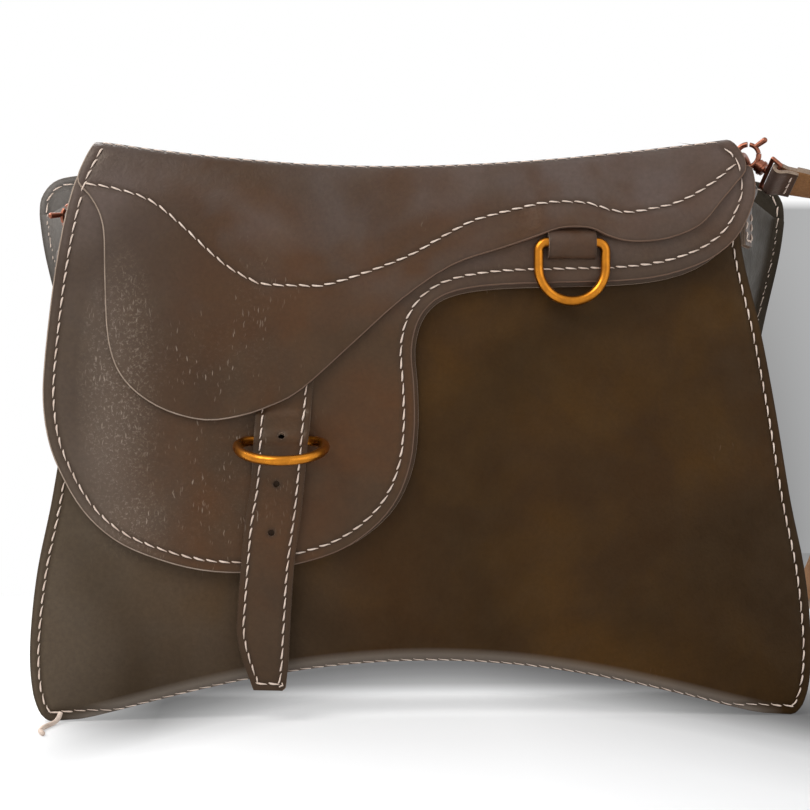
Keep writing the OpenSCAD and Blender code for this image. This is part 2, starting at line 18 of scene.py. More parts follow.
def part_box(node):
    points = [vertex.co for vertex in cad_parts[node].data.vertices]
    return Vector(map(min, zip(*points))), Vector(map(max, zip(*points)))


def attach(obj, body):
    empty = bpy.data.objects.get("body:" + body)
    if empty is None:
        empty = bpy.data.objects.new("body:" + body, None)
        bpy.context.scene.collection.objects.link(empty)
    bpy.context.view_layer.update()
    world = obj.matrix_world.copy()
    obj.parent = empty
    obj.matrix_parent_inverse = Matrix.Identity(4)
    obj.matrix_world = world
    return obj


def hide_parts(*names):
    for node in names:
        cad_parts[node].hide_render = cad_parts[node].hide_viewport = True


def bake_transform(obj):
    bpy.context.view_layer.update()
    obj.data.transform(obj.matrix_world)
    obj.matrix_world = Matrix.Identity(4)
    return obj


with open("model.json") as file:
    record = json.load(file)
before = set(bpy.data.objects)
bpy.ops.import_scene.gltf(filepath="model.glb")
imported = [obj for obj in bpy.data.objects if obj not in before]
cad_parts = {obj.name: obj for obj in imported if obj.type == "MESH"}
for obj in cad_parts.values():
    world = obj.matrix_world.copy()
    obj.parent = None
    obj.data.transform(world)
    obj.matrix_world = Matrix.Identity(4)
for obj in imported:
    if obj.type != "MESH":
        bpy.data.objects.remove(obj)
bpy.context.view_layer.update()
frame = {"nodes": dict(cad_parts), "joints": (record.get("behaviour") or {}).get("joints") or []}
joints = {joint["name"]: joint for joint in frame["joints"]}
MM = 0.001
rng = random.Random(7)

# %% [markdown]
# ## Leather, metal and thread
# The bag is vegetable-tanned cowhide with a waxed pull-up finish: bending and rubbing move the wax,
# so the colour is cloudy, darker where wax gathers and paler in creases. Its pattern is made from
# noise in several real sizes: clouds of 55 mm, mottling of 13 mm and a grain of 1 mm. One helper
# adds a node with its settings and its inputs, so each material reads as a short recipe.

# %% Node and colour helpers
def linear(code):
    """A hex colour as written on screen, as the linear values that Blender's sockets take."""
    shares = [int(code[i : i + 2], 16) / 255 for i in (1, 3, 5)]
    return [c / 12.92 if c <= 0.04045 else ((c + 0.055) / 1.055) ** 2.4 for c in shares] + [1]


def add(tree, kind, inputs=None, **settings):
    """A node of that kind; inputs are values, or sockets to link."""
    node = tree.nodes.new("ShaderNode" + kind)
    for name, value in settings.items():
        setattr(node, name, value)
    for key, value in (inputs or {}).items():
        if isinstance(value, bpy.types.NodeSocket):
            tree.links.new(value, node.inputs[key])
        else:
            node.inputs[key].default_value = value
    return node


def scale_of(size_mm):
    """Noise scale whose features are about that many millimetres wide."""
    return 1000 / size_mm


def new_material(name):
    material = bpy.data.materials.new(name)
    material.use_nodes = True
    material.node_tree.nodes.clear()
    return material, material.node_tree


def mix_colour(tree, share, a, b, blend="MIX"):
    node = add(tree, "Mix", data_type="RGBA", blend_type=blend)
    for key, value in (("Factor", share), ("A", a), ("B", b)):
        socket = [s for s in node.inputs if s.name == key and s.enabled][0]
        if isinstance(value, bpy.types.NodeSocket):
            tree.links.new(value, socket)
        else:
            socket.default_value = value
    return [s for s in node.outputs if s.enabled][0]


def noise(tree, coords, size_mm, detail=4.0, rough=0.55, distortion=0.0):
    inputs = {"Vector": coords, "Scale": scale_of(size_mm), "Detail": detail, "Roughness": rough,
              "Distortion": distortion}
    return add(tree, "TexNoise", inputs).outputs["Fac"]


def stretch(tree, value, low, high, to_low=0.0, to_high=1.0):
    """The value moved from one range to another and clamped to it."""
    inputs = {"Value": value, "From Min": low, "From Max": high, "To Min": to_low,
              "To Max": to_high}
    return add(tree, "MapRange", inputs).outputs["Result"]


def maths(tree, operation, a, b=0.0):
    return add(tree, "Math", {0: a, 1: b}, operation=operation).outputs[0]


def product(tree, total, *others):
    for value in others:
        total = maths(tree, "MULTIPLY", total, value)
    return total


def window(tree, value, rise, full, fall, end):
    """1 between two soft limits and 0 beyond them."""
    falling = stretch(tree, value, fall, end, 1.0, 0.0)
    return product(tree, stretch(tree, value, rise, full), falling)


def tint(tree, colour, share, code, amount=1.0):
    """One more colour over what is there, where the share is high."""
    share = share if amount == 1.0 else product(tree, share, amount)
    return mix_colour(tree, share, colour, linear(code))


def place_on_piece(tree):
    """The place on the bag, as one vector and as its x, y and z in metres."""
    coords = add(tree, "TexCoord").outputs["Object"]
    return coords, add(tree, "SeparateXYZ", {"Vector": coords}).outputs


def mixed(tree, share, first, second):
    """The first shader where the share is 0 and the second where it is 1."""
    inputs = {0: share, 1: first.outputs[0], 2: second.outputs[0]}
    return add(tree, "MixShader", inputs)


def surface(tree, shader):
    add(tree, "OutputMaterial", {"Surface": shader.outputs[0]})


def principled(tree, colour, rough, height, strength, deep, others):
    """The shader of a real surface, with a bump of that depth in metres, as the output."""
    bump = add(tree, "Bump", {"Height": height, "Strength": strength, "Distance": deep})
    inputs = {"Base Color": colour, "Roughness": rough, "Normal": bump.outputs[0], **others}
    surface(tree, add(tree, "BsdfPrincipled", inputs))


# %% Pull-up leather
# Where the hide has been bent: centre and half size in metres of each patch of pale creases, which
# at the far left also gets a painted sheen
WORN_PATCHES = (((-0.117, 0.128), (0.014, 0.045)), ((-0.078, 0.092), (0.022, 0.030)),
                ((-0.104, 0.078), (0.022, 0.014)), ((-0.080, 0.140), (0.026, 0.016)),
                ((-0.068, 0.168), (0.009, 0.016)))
# The sizes in millimetres of what shows in the hide's colour and in its surface
CLOUD_MM, SHADE_MM, MOTTLE_MM, FINE_MM, GRAIN_MM, DASH_DEEP_MM = 55, 110, 13, 1.6, 0.95, 40
BURNISHED_MM, SEAM_SHADE_MM = 1.6, 2.2


def wear_and_sheen_share(tree, place):
    """1 in the middle of a worn patch and 0 outside, from the place on the bag's front; it places
    creases and painted sheen.
    """
    total = 0.0
    for (x, z), (half_x, half_z) in WORN_PATCHES:
        dx = maths(tree, "DIVIDE", maths(tree, "SUBTRACT", place[0], x), half_x)
        dz = maths(tree, "DIVIDE", maths(tree, "SUBTRACT", place[2], z), half_z)
        away = maths(tree, "ADD", product(tree, dx, dx), product(tree, dz, dz))
        total = maths(tree, "MAXIMUM", stretch(tree, away, 0.1, 1.7, 1.0, 0.0), total)
    return total


def dashes(tree, coords, wide_mm, tall_mm, tilt, size):
    """Short upright marks: cells stretched upwards, of which only the middles are kept."""
    scales = (scale_of(wide_mm), scale_of(DASH_DEEP_MM), scale_of(tall_mm))
    grid = add(tree, "Mapping",
               {"Vector": coords, "Rotation": (0.0, tilt, 0.0), "Scale": scales})
    cell = {"Vector": grid.outputs[0], "Scale": 1.0, "Randomness": 1.0}
    middle = add(tree, "TexVoronoi", cell, voronoi_dimensions="3D").outputs["Distance"]
    return stretch(tree, middle, size * 0.55, size, 1.0, 0.0)


def pull_up_leather(name, base, warm, dark, pale, crease=1.0, gloss=0.42, warmth=0.5, side=None,
                    high=None, foot_sheen=None, sheen=0.3, lit_side_from=-0.13, lit_side_to=-0.02):
    """Waxed cowhide: cloudy colour, fine grain, short creases that glint, darker worn rims; also
    painted light: a paler left side, sheen at the top and foot, and shade beside seams.
    """
    material, tree = new_material(name)
    coords, place = place_on_piece(tree)
    clouds = stretch(tree, noise(tree, coords, CLOUD_MM, 3.0, 0.6, 0.4), 0.44, 0.62)
    mottle = stretch(tree, noise(tree, coords, MOTTLE_MM, 5.0, 0.65), 0.36, 0.68)
    shade = stretch(tree, noise(tree, coords, SHADE_MM, 2.0, 0.5, 0.8), 0.4, 0.6)
    fine = noise(tree, coords, FINE_MM, 3.0, 0.6)
    colour, warm_share = linear(base), product(tree, clouds, warmth)
    # painted light: the side colour makes the hide paler and greyer towards the left, where the
    # light falls, and takes the warmth out there
    if side:
        across = stretch(tree, place[0], lit_side_from, lit_side_to)
        colour = mix_colour(tree, across, linear(side), colour)
        warm_share = product(tree, warm_share, across)
    # painted sheen: a paler, greyer tone towards the top of the bag, where the leather rolls over
    # into the light
    if high:
        colour = tint(tree, colour, stretch(tree, place[2], 0.150, 0.212, 0.0, 0.85), high)
    colour = tint(tree, colour, warm_share, warm)
    colour = tint(tree, colour, shade, dark, 0.6)
    colour = tint(tree, colour, mottle, pale, 0.16)
    speck = stretch(tree, fine, 0.3, 0.7, 0.9, 1.08)
    colour = mix_colour(tree, 1.0, colour, speck, "MULTIPLY")
    # creases: short upright marks, thick in the worn patches and rare elsewhere
    wobble = add(tree, "TexNoise", {"Vector": coords, "Scale": scale_of(3.5)})
    bent = add(tree, "MixRGB",
               {"Fac": 0.0022, "Color1": coords, "Color2": wobble.outputs["Color"]}).outputs[0]
    wear_and_sheen = wear_and_sheen_share(tree, place)
    marks = maths(tree, "MAXIMUM", dashes(tree, bent, 1.1, 6.0, 0.12, 0.23),
                  dashes(tree, bent, 2.0, 14.0, -0.3, 0.13))
    kept = product(tree, wear_and_sheen, stretch(tree, noise(tree, coords, 9, 3.0), 0.48, 0.62))
    rare = stretch(tree, noise(tree, coords, 30, 2.0), 0.66, 0.74, 0.0, 0.35)
    line = product(tree, marks, maths(tree, "MAXIMUM", kept, rare))
    speckle = stretch(tree, noise(tree, bent, 1.1, 4.0, 0.75), 0.53, 0.66, 0.0, 0.6)
    beside_seam = stretch(tree, place[0], -0.112, -0.098, 1.0, 0.12)
    line = maths(tree, "MAXIMUM", line, product(tree, speckle, wear_and_sheen, beside_seam))
    # painted sheen: in the worn patches at the far left the hide is made paler and greyer, where
    # the light glances off it
    left_sheen = stretch(tree, place[0], -0.122, -0.098, 0.2 * crease, 0.0)
    colour = tint(tree, colour, product(tree, wear_and_sheen, left_sheen), "#7d6c60")
    colour = tint(tree, colour, line, "#b8a898", 0.5 * crease)
    # the burnished rim of each piece is darker
    edge = add(tree, "Attribute", attribute_name="edge_mm").outputs["Fac"]
    colour = tint(tree, colour, stretch(tree, edge, 0.0, BURNISHED_MM, 0.6, 0.0), dark)
    if foot_sheen:  # painted reflection: where the panel rolls under at its foot it is made pale, as if the pale floor showed in it
        off_side = stretch(tree, maths(tree, "ABSOLUTE", place[0]), 0.142, 0.126)
        low = product(tree, stretch(tree, place[2], 0.040, 0.030), stretch(tree, edge, 5.5, 1.2),
                      off_side)
        colour = tint(tree, colour, low, foot_sheen, 0.75)
    # painted shade: the leather is pressed down beside a seam and painted darker there, as the
    # groove lies in shade
    seam = add(tree, "Attribute", attribute_name="seam_mm").outputs["Fac"]
    colour = tint(tree, colour, stretch(tree, seam, 0.6, SEAM_SHADE_MM, 0.4, 0.0), dark)
    grain_cell = {"Vector": coords, "Scale": scale_of(GRAIN_MM), "Randomness": 1.0}
    grain = add(tree, "TexVoronoi", grain_cell, feature="SMOOTH_F1").outputs["Distance"]
    height = product(tree, grain, -0.28)
    for relief, amount in ((fine, 0.4), (mottle, 0.7), (line, 0.9 * crease)):
        height = maths(tree, "ADD", height, product(tree, relief, amount))
    gloss_here = stretch(tree, mottle, 0.0, 1.0, gloss + 0.08, gloss - 0.07)
    waxed = {"IOR": 1.48, "Specular IOR Level": sheen, "Specular Tint": (1.0, 0.86, 0.72, 1.0)}
    principled(tree, colour, gloss_here, height, 0.36, 0.0006, waxed)
    return material


# painted light on the flap leather: the side colour makes it paler and greyer on the left, where
# the light falls, and the high colour paints a sheen at the top
grain_leather = pull_up_leather(
    "waxed pull-up cowhide", "#3f2c1c", "#4c2d14", "#2e2016", "#55432f", warmth=0.8, gloss=0.38,
    side="#54483f", high="#665955", sheen=0.32, lit_side_from=-0.125, lit_side_to=-0.085,
)
# painted light on the front panel: the side colour makes it paler and greyer on the left, where the
# light falls, and the foot colour paints a pale sheen along the rolled-under foot
panel_leather = pull_up_leather(
    "waxed pull-up cowhide, oiled dark", "#38240f", "#4a3110", "#241808", "#4a3a26",
    crease=0.5, gloss=0.42, warmth=0.7, side="#52473b", foot_sheen="#8c8278", sheen=0.14,
)
# painted light: the side colour makes this dark leather pale grey at the far left, where the left
# ear and gusset are lit
dark_leather = pull_up_leather(
    "oiled cowhide, gusset", "#251f15", "#2f2517", "#1b1812", "#3c342a", crease=0.2, gloss=0.44,
    side="#8a8580", sheen=0.25, lit_side_from=-0.142, lit_side_to=-0.118,
)
print("leathers:", grain_leather.name, panel_leather.name, dark_leather.name)


# %% Flesh side, cut edge and thread
def fibrous(name, base, pale, dark, size_mm, rough, depth, right=None):
    """A matt fibrous surface: the back of a hide, its cut edge, or twisted thread."""
    material, tree = new_material(name)
    coords, place = place_on_piece(tree)
    nap = noise(tree, coords, size_mm, 6.0, 0.7)
    broad = noise(tree, coords, size_mm * 14, 3.0)
    colour = mix_colour(tree, stretch(tree, nap, 0.3, 0.7), linear(base), linear(pale))
    colour = tint(tree, colour, stretch(tree, broad, 0.4, 0.7, 0.0, 0.5), dark)
    if right:
        colour = tint(tree, colour, stretch(tree, place[0], -0.08, -0.045), right)
    principled(tree, colour, rough, nap, depth, 0.0005, {})
    return material


flesh_leather = fibrous("cowhide, flesh side", "#80552f", "#9a6c40", "#6a4526", 1.2, 0.82, 0.5)
inner_leather = fibrous("cowhide, flesh side dyed", "#5a4330", "#6b503a", "#463424", 1.2, 0.85,
                        0.5)
cut_edge = fibrous("cowhide, raw cut edge", "#7d6856", "#a8937f", "#56443a", 0.5, 0.75, 0.6)
pale_edge = fibrous("cowhide, raw edge of the flap", "#8f7c6b", "#a99787", "#6c5a4b", 0.5, 0.75,
                    0.5, right="#6a5140")
dark_edge = fibrous("cowhide, dyed cut edge", "#4e3526", "#6a4a36", "#382820", 0.5, 0.7, 0.6)
linen_thread = fibrous("waxed linen thread", "#e0c9b8", "#f0dfd0", "#b89c88", 0.5, 0.6, 0.35)
# What a piece shows on its grain side, its flesh side and its cut edge
GRAIN = [grain_leather, inner_leather, cut_edge]
RAW_GRAIN = [grain_leather, inner_leather, pale_edge]
DARK = [dark_leather, inner_leather, dark_edge]


# %% Brass, antiqued copper and steel
def polished_metal(name, base, dark, rough, scratch):
    """Cast and tumbled metal: soft gloss with faint scratches, and darker patches that are partly
    handled wear and partly painted dark reflection.
    """
    material, tree = new_material(name)
    coords = place_on_piece(tree)[0]
    # the darker patches are partly handled wear and partly painted dark reflection, which gives the
    # metal its contrast
    wear_and_reflection = stretch(tree, noise(tree, coords, 5, 3.0), 0.4, 0.72, 0.0, 0.6)
    colour = mix_colour(tree, wear_and_reflection, linear(base), linear(dark))
    rub = noise(tree, coords, 0.7, 4.0, 0.6)
    gloss = stretch(tree, wear_and_reflection, 0.0, 0.6, rough, rough + 0.14)
    principled(tree, colour, gloss, rub, scratch, 0.0002, {"Metallic": 1.0})
    return material


brass = polished_metal("brass, cast and tumbled", "#c47c26", "#86501a", 0.26, 0.04)
copper = polished_metal("copper plate, antiqued", "#96604c", "#5c3426", 0.3, 0.12)
steel = polished_metal("steel, nickel plated", "#b9b8b4", "#8c8b88", 0.28, 0.1)
finishes = {"closure_ring": brass, "front_ring": brass, "snap_body_disc": steel,
            "snap_flap_disc": steel, "snap_washer": steel}
for end in ("left", "right"):
    for part in ("side_ring_", "hook_", "hook_gate_", "swivel_eye_"):
        finishes[part + end] = copper
for name, material in finishes.items():
    mesh = frame["nodes"][name].data
    mesh.materials.clear()
    mesh.materials.append(material)
print("metal pieces kept from the frame:", len(finishes))

# %% [markdown]
# ## Patterns: the outlines that the leather is cut to
# A leather worker starts from flat patterns, and so does this bag. Each outline is a row of points,
# as shares of the bag's width and height, that one smooth curve joins. They are the same patterns
# as the frame's, so a dressed piece lies where its solid lies.

# %% Sizes and outlines
WIDTH, HEIGHT, TOP_DIP, ARCH_RISE = 307.0, 224.6, 9.0, 22.5
front_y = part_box("front_panel")[0].y / MM
back_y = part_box("back_panel")[1].y / MM
FLAP_T, LINING_T, PANEL_T, FLAP_GAP = 2.2, 1.8, 2.4, 0.6
flap_back_y = front_y - FLAP_GAP - LINING_T
flap_y = flap_back_y - FLAP_T
skirt_y = flap_y - FLAP_T
TOP_HALF = 0.404 * WIDTH


def curve(points, steps):
    """A smooth curve through the points, as on the frame."""
    points = [np.array(p, float) for p in points]
    out = []
    for i in range(len(points) - 1):
        a, b, c = points[max(i - 1, 0)], points[i], points[i + 1]
        d = points[min(i + 2, len(points) - 1)]
        for k in range(steps):
            t = k / steps
            out.append(0.5 * (2 * b + (c - a) * t + (2 * a - 5 * b + 4 * c - d) * t * t
                              + (3 * b - a - 3 * c + d) * t ** 3))
    return np.array(out + [points[-1]])


def unit(rows):
    """Each row as a direction of length 1."""
    return rows / np.maximum(np.linalg.norm(rows, axis=1), 1e-6)[:, None]


def run_along(path):
    """How far along the path each of its points is."""
    return np.concatenate([[0], np.cumsum(np.linalg.norm(np.diff(path, axis=0), axis=1))])


def upright(flat, y):
    """Flat points as points in space at that y, which is one number or one per point."""
    return np.stack([flat[:, 0], np.broadcast_to(y, len(flat)), flat[:, 1]], 1)


def even(path, step, closed=False):
    """The same path with points an even step apart."""
    path = np.vstack([path, path[:1]]) if closed else np.array(path, float)
    run = run_along(path)
    count = max(2, round(run[-1] / step) + (0 if closed else 1))
    at = np.linspace(0, run[-1], count, endpoint=not closed)
    return np.stack([np.interp(at, run, path[:, k]) for k in range(path.shape[1])], 1)


def to_left(way):
    return np.stack([-way[:, 1], way[:, 0]], 1)


def inset(path, amount):
    """The path moved to the left of its own direction; amount is one number or one per point."""
    ahead, behind = np.vstack([path[1:], path[-1:]]), np.vstack([path[:1], path[:-1]])
    return path + to_left(unit(ahead - behind)) * np.reshape(amount, (-1, 1))


def share_points(rows):
    return np.array(rows) * (WIDTH, HEIGHT)


def top_z(x):
    """Height of the bag's top edge, which dips in the middle."""
    return HEIGHT - TOP_DIP * (1 - np.minimum(1, (np.asarray(x) / TOP_HALF) ** 2))


FRONT_SIDE = [(0.404, 0.953), (0.408, 0.824), (0.433, 0.677), (0.453, 0.534), (0.472, 0.378),
              (0.490, 0.258), (0.499, 0.138), (0.497, 0.062), (0.488, 0.018), (0.476, 0)]
BACK_SIDE = [(0.517, 0.900), (0.509, 0.824), (0.484, 0.677), (0.469, 0.534), (0.471, 0.378),
             (0.482, 0.258), (0.492, 0.138), (0.493, 0.062), (0.487, 0.018), (0.476, 0)]
EAR = [(0.414, 0.984), (0.459, 0.977), (0.495, 0.966), (0.514, 0.935), (0.517, 0.900)]
FLAP = [(-0.419, 0.995), (-0.443, 0.919), (-0.460, 0.814), (-0.471, 0.710), (-0.479, 0.599),
        (-0.479, 0.538), (-0.4725, 0.483), (-0.460, 0.436), (-0.438, 0.380), (-0.413, 0.339),
        (-0.380, 0.3055), (-0.335, 0.280), (-0.2845, 0.262), (-0.2275, 0.257), (-0.170, 0.269),
        (-0.113, 0.292), (-0.071, 0.328), (-0.039, 0.377), (-0.020, 0.441), (-0.014, 0.5105),
        (-0.015, 0.580), (-0.018, 0.641), (-0.009, 0.693), (0.013, 0.7275), (0.046, 0.745),
        (0.0965, 0.7535), (0.173, 0.757), (0.249, 0.7605), (0.306, 0.771), (0.3595, 0.797),
        (0.395, 0.835), (0.415, 0.884), (0.422, 0.922), (0.418, 0.957), (0.4055, 0.986), (0.389, 1)]
SKIRT = [(-0.419, 0.995), (-0.431, 0.960), (-0.437, 0.929), (-0.422, 0.903), (-0.410, 0.875),
         (-0.404, 0.840), (-0.403, 0.780), (-0.401, 0.693), (-0.396, 0.641), (-0.384, 0.599),
         (-0.361, 0.564), (-0.325, 0.535), (-0.278, 0.519), (-0.234, 0.526), (-0.196, 0.543),
         (-0.1575, 0.571), (-0.094, 0.649), (-0.0305, 0.7275), (0.033, 0.7865), (0.0965, 0.816),
         (0.147, 0.840), (0.168, 0.850), (0.192, 0.8525), (0.211, 0.849), (0.230, 0.837),
         (0.262, 0.828), (0.306, 0.8335), (0.349, 0.858), (0.3785, 0.904), (0.3975, 0.932),
         (0.4085, 0.947), (0.4085, 0.964), (0.401, 0.981), (0.389, 1)]
arch_half = 0.45 * WIDTH
arch_x = np.linspace(arch_half, -arch_half, 61)
arch = np.stack([arch_x, ARCH_RISE * np.maximum(0, 1 - (arch_x / arch_half) ** 2) ** 1.25], 1)


def panel_path(side_rows):
    """A panel's edge from the top right corner round the bottom to the top left corner."""
    side = curve(share_points(side_rows), 4)
    side[:, 1] = np.maximum(side[:, 1], 0)
    return np.vstack([side, arch[1:-1], (side * (-1, 1))[::-1]])


front_path, back_path = panel_path(FRONT_SIDE), panel_path(BACK_SIDE)
ear_right = curve(share_points(EAR), 4)
ear_left = (ear_right * (-1, 1))[::-1]
print("front panel", round(np.ptp(front_path[:, 0])), "mm wide over its corners")

# %% [markdown]
# ## Cutting and shaping a sheet of leather
# Every flat piece is made the same way as on the bench: cut the outline, press the seam grooves,
# shape it, then finish the edge. The cut is a fill of even triangles between the outline, the seam
# tracks and the punched holes, so grooves and holes are real geometry. A Solidify modifier gives
# the hide's thickness behind the grain side, and a Bevel rounds the cut edge.

# %% Distances and inside tests
# Steps along an outline, a seam track, a stitch row and a path that distances are taken to, in mm
EDGE_STEP, LANE_STEP, ROW_STEP, FINE_STEP = 2.2, 1.2, 0.4, 0.5


def distance_to(path, closed=True):
    """A function that gives how far points are from a path, in mm."""
    dense = even(path, FINE_STEP, closed)
    tree = kdtree.KDTree(len(dense))
    for i, p in enumerate(dense):
        tree.insert((p[0], p[1], 0), i)
    tree.balance()
    return lambda points: np.array([tree.find((p[0], p[1], 0))[2] for p in points])


def inside(points, loop):
    """Which points lie within a closed outline."""
    x, z = points[:, 0], points[:, 1]
    hit = np.zeros(len(points), bool)
    for (x1, z1), (x2, z2) in zip(loop, np.roll(loop, -1, 0)):
        if z1 != z2:
            hit ^= ((z1 > z) != (z2 > z)) & (x < (x2 - x1) * (z - z1) / (z2 - z1) + x1)
    return hit


def smooth(value, low, high):
    t = np.clip((np.asarray(value, float) - low) / (high - low), 0, 1)
    return t * t * (3 - 2 * t)


def between(value, rise, full, fall, end):
    """1 between two soft limits and 0 beyond them."""
    return smooth(value, rise, full) * (1 - smooth(value, fall, end))


# Where rows of points run beside a seam track, how far apart they stay, and the points of a hole
LANES, LANE_GAP, HOLE_POINTS, ROW_SHARE = (-1.6, -0.8, 0, 0.8, 1.6), 0.5, 20, 0.866
# How far the grid and those rows stay from the outline, the seam tracks and the edges of holes
GRID_TO_EDGE, LANE_TO_EDGE, GRID_TO_TRACK, GRID_TO_HOLE, LANE_TO_HOLE = 1.5, 0.75, 2.4, 0.9, 0.6


def fill(loop, tracks, holes, cell):
    """Points and triangles that fill a loop, finer along the tracks and round the holes."""
    low, high = loop.min(0), loop.max(0)
    rows = []
    for k, z in enumerate(np.arange(low[1] + cell / 2, high[1], cell * ROW_SHARE)):
        x = np.arange(low[0] + cell * (0.5 if k % 2 else 1.0), high[0], cell)
        rows.append(np.stack([x, np.full(len(x), z)], 1))
    grid = np.vstack(rows)
    to_loop = distance_to(loop)
    grid = grid[inside(grid, loop)]
    grid = grid[to_loop(grid) > GRID_TO_EDGE]
    lane = np.zeros((0, 2))
    if tracks:
        lane = np.vstack([inset(even(t, LANE_STEP), shift) for t in tracks for shift in LANES])
        lane = lane[inside(lane, loop)]
        lane = lane[to_loop(lane) > LANE_TO_EDGE]
        apart = np.unique(np.round(lane / LANE_GAP).astype(int), axis=0, return_index=True)[1]
        lane = lane[np.sort(apart)]
    for track in tracks:
        grid = grid[distance_to(track, closed=False)(grid) > GRID_TO_TRACK]
    for centre, radius in holes:
        grid = grid[np.linalg.norm(grid - centre, axis=1) > radius + GRID_TO_HOLE]
        lane = lane[np.linalg.norm(lane - centre, axis=1) > radius + LANE_TO_HOLE]
    points = [tuple(p) for p in np.vstack([loop, grid, lane])]
    edges = []
    for centre, radius in holes:
        first = len(points)
        for k in range(HOLE_POINTS):
            a = 2 * math.pi * k / HOLE_POINTS
            points.append((centre[0] + radius * math.cos(a), centre[1] + radius * math.sin(a)))
            edges.append((first + k, first + (k + 1) % HOLE_POINTS))
    flat = [Vector(p) for p in points]
    result = delaunay_2d_cdt(flat, edges, [list(range(len(loop)))], 1, 1e-5)
    co = np.array([tuple(v) for v in result[0]])
    faces = [list(f) for f in result[2]]
    for centre, radius in holes:
        faces = [f for f in faces if np.linalg.norm(co[f].mean(0) - centre) > radius * 0.97]
    return co, faces


# %% Make and finish a piece
def only(piece):
    bpy.ops.object.select_all(action="DESELECT")
    piece.select_set(True)
    bpy.context.view_layer.objects.active = piece


def new_piece(name, points_mm, faces, materials):
    mesh = bpy.data.meshes.new(name)
    mesh.from_pydata([tuple(p) for p in np.asarray(points_mm) * MM], [], faces)
    piece = bpy.data.objects.new(name, mesh)
    bpy.context.collection.objects.link(piece)
    for material in materials:
        mesh.materials.append(material)
    return piece


def round_piece(name, points_mm, faces, materials):
    """A piece of closed tubes, smooth and with all its normals outwards."""
    piece = new_piece(name, points_mm, faces, materials)
    only(piece)
    bpy.ops.object.mode_set(mode="EDIT")
    bpy.ops.mesh.select_all(action="SELECT")
    bpy.ops.mesh.normals_make_consistent(inside=False)
    bpy.ops.object.mode_set(mode="OBJECT")
    bpy.ops.object.shade_smooth()
    return piece


def rings_round(centres, radius, side, up, sides):
    """A ring of points round each centre, in the plane of its own side and up directions."""
    turns = np.linspace(0, 2 * math.pi, sides, endpoint=False)[None, :, None]
    return centres[:, None] + np.reshape(radius, (-1, 1, 1)) * (
        np.cos(turns) * side[:, None] + np.sin(turns) * up[:, None])


def tube_faces(first, rings, sides):
    """The faces of one tube of rings with a cap at each end, from that first point on."""
    faces = []
    for ring in range(rings - 1):
        for j in range(sides):
            a, b = first + ring * sides + j, first + ring * sides + (j + 1) % sides
            faces.append([a, a + sides, b + sides, b])
    last = first + (rings - 1) * sides
    return faces + [[first + j for j in range(sides)], [last + j for j in reversed(range(sides))]]


def keep_distances(piece, edge, seam):
    """Each point remembers how far the cut edge and the nearest seam are, for the finish."""
    for name, values in (("edge_mm", edge), ("seam_mm", seam)):
        attribute = piece.data.attributes.new(name, "FLOAT", "POINT")
        attribute.data.foreach_set("value", np.asarray(values, np.float32))


# An edge sharper than the first angle is bevelled, and one softer than the second is shaded smooth
BEVEL_ABOVE, SMOOTH_BELOW = math.radians(58), math.radians(42)


def give_thickness(piece, thick, edge_r, centred=False, raw=False):
    """Thickness behind the grain side. A raw edge shows the cut hide on its bevel too."""
    solid = piece.modifiers.new("hide", "SOLIDIFY")
    solid.thickness, solid.offset = thick * MM, 0 if centred else -1
    solid.material_offset, solid.material_offset_rim = 1, 2
    bevel = piece.modifiers.new("edge", "BEVEL")
    bevel.width, bevel.segments = edge_r * MM, 2
    bevel.limit_method, bevel.angle_limit = "ANGLE", BEVEL_ABOVE
    bevel.material = 2 if raw else -1
    bevel.use_clamp_overlap = not raw
    only(piece)
    for modifier in list(piece.modifiers):
        bpy.ops.object.modifier_apply(modifier=modifier.name)
    bpy.ops.object.shade_smooth_by_angle(angle=SMOOTH_BELOW)
    return piece


GROOVE, GROOVE_W, NO_SEAM = 0.32, 0.85, 99.0


def cut_leather(name, outline, shape, thick, materials, tracks=(), holes=(), cell=3.0, edge_r=0.5,
                raw=False):
    """Cut, groove, shape and thicken one sheet, with its grain side towards the front."""
    loop = even(outline, EDGE_STEP, closed=True)
    flat, faces = fill(loop, tracks, holes, cell)
    edge = distance_to(loop)(flat)
    for centre, radius in holes:
        edge = np.minimum(edge, np.abs(np.linalg.norm(flat - centre, axis=1) - radius))
    seam = np.full(len(flat), NO_SEAM)
    for track in tracks:
        seam = np.minimum(seam, distance_to(track, closed=False)(flat))
    first = faces[0]
    turn = np.cross(flat[first[1]] - flat[first[0]], flat[first[2]] - flat[first[0]])
    if turn <= 0:
        faces = [f[::-1] for f in faces]
    piece = new_piece(name, shape(flat), faces, materials)
    depth = GROOVE * np.exp(-((seam / GROOVE_W) ** 2)) * MM
    normals = [v.normal.copy() for v in piece.data.vertices]
    for vertex, normal, deep in zip(piece.data.vertices, normals, depth):
        vertex.co -= normal * deep
    keep_distances(piece, edge, seam)
    return give_thickness(piece, thick, edge_r, raw=raw)


# %% [markdown]
# ## Hand sewing
# The seams are saddle stitched with thick waxed linen, about five stitches to 25 mm. Each stitch
# leaves its hole, rises over the leather and dips into the next hole, aslant and thinner towards
# its end. One stitch is five small rings of six points; a whole row is one mesh on the leather's
# shape.

# %% A row of stitches
STITCH_PITCH, STITCH_SIDES, STITCH_GIRTH, LOW_GIRTH, FOOT_GIRTH = 4.9, 6, 0.74, 0.5, 0.4
# Where a stitch starts and how long it is, as shares of the pitch; a short way to probe the sheet
STITCH_START, STITCH_SPAN, PROBE, AHEAD = 0.06, 0.86, 0.2, 0.3
# Share of the stitch's length, rise over the leather, radius and sideways place of each ring
STITCH_RINGS = ((0.0, -0.40, 0.24, 0.32), (0.12, 0.18, 0.46, 0.16), (0.38, 0.36, 0.50, 0.0),
                (0.80, 0.16, 0.32, -0.12), (1.02, -0.36, 0.16, -0.34))


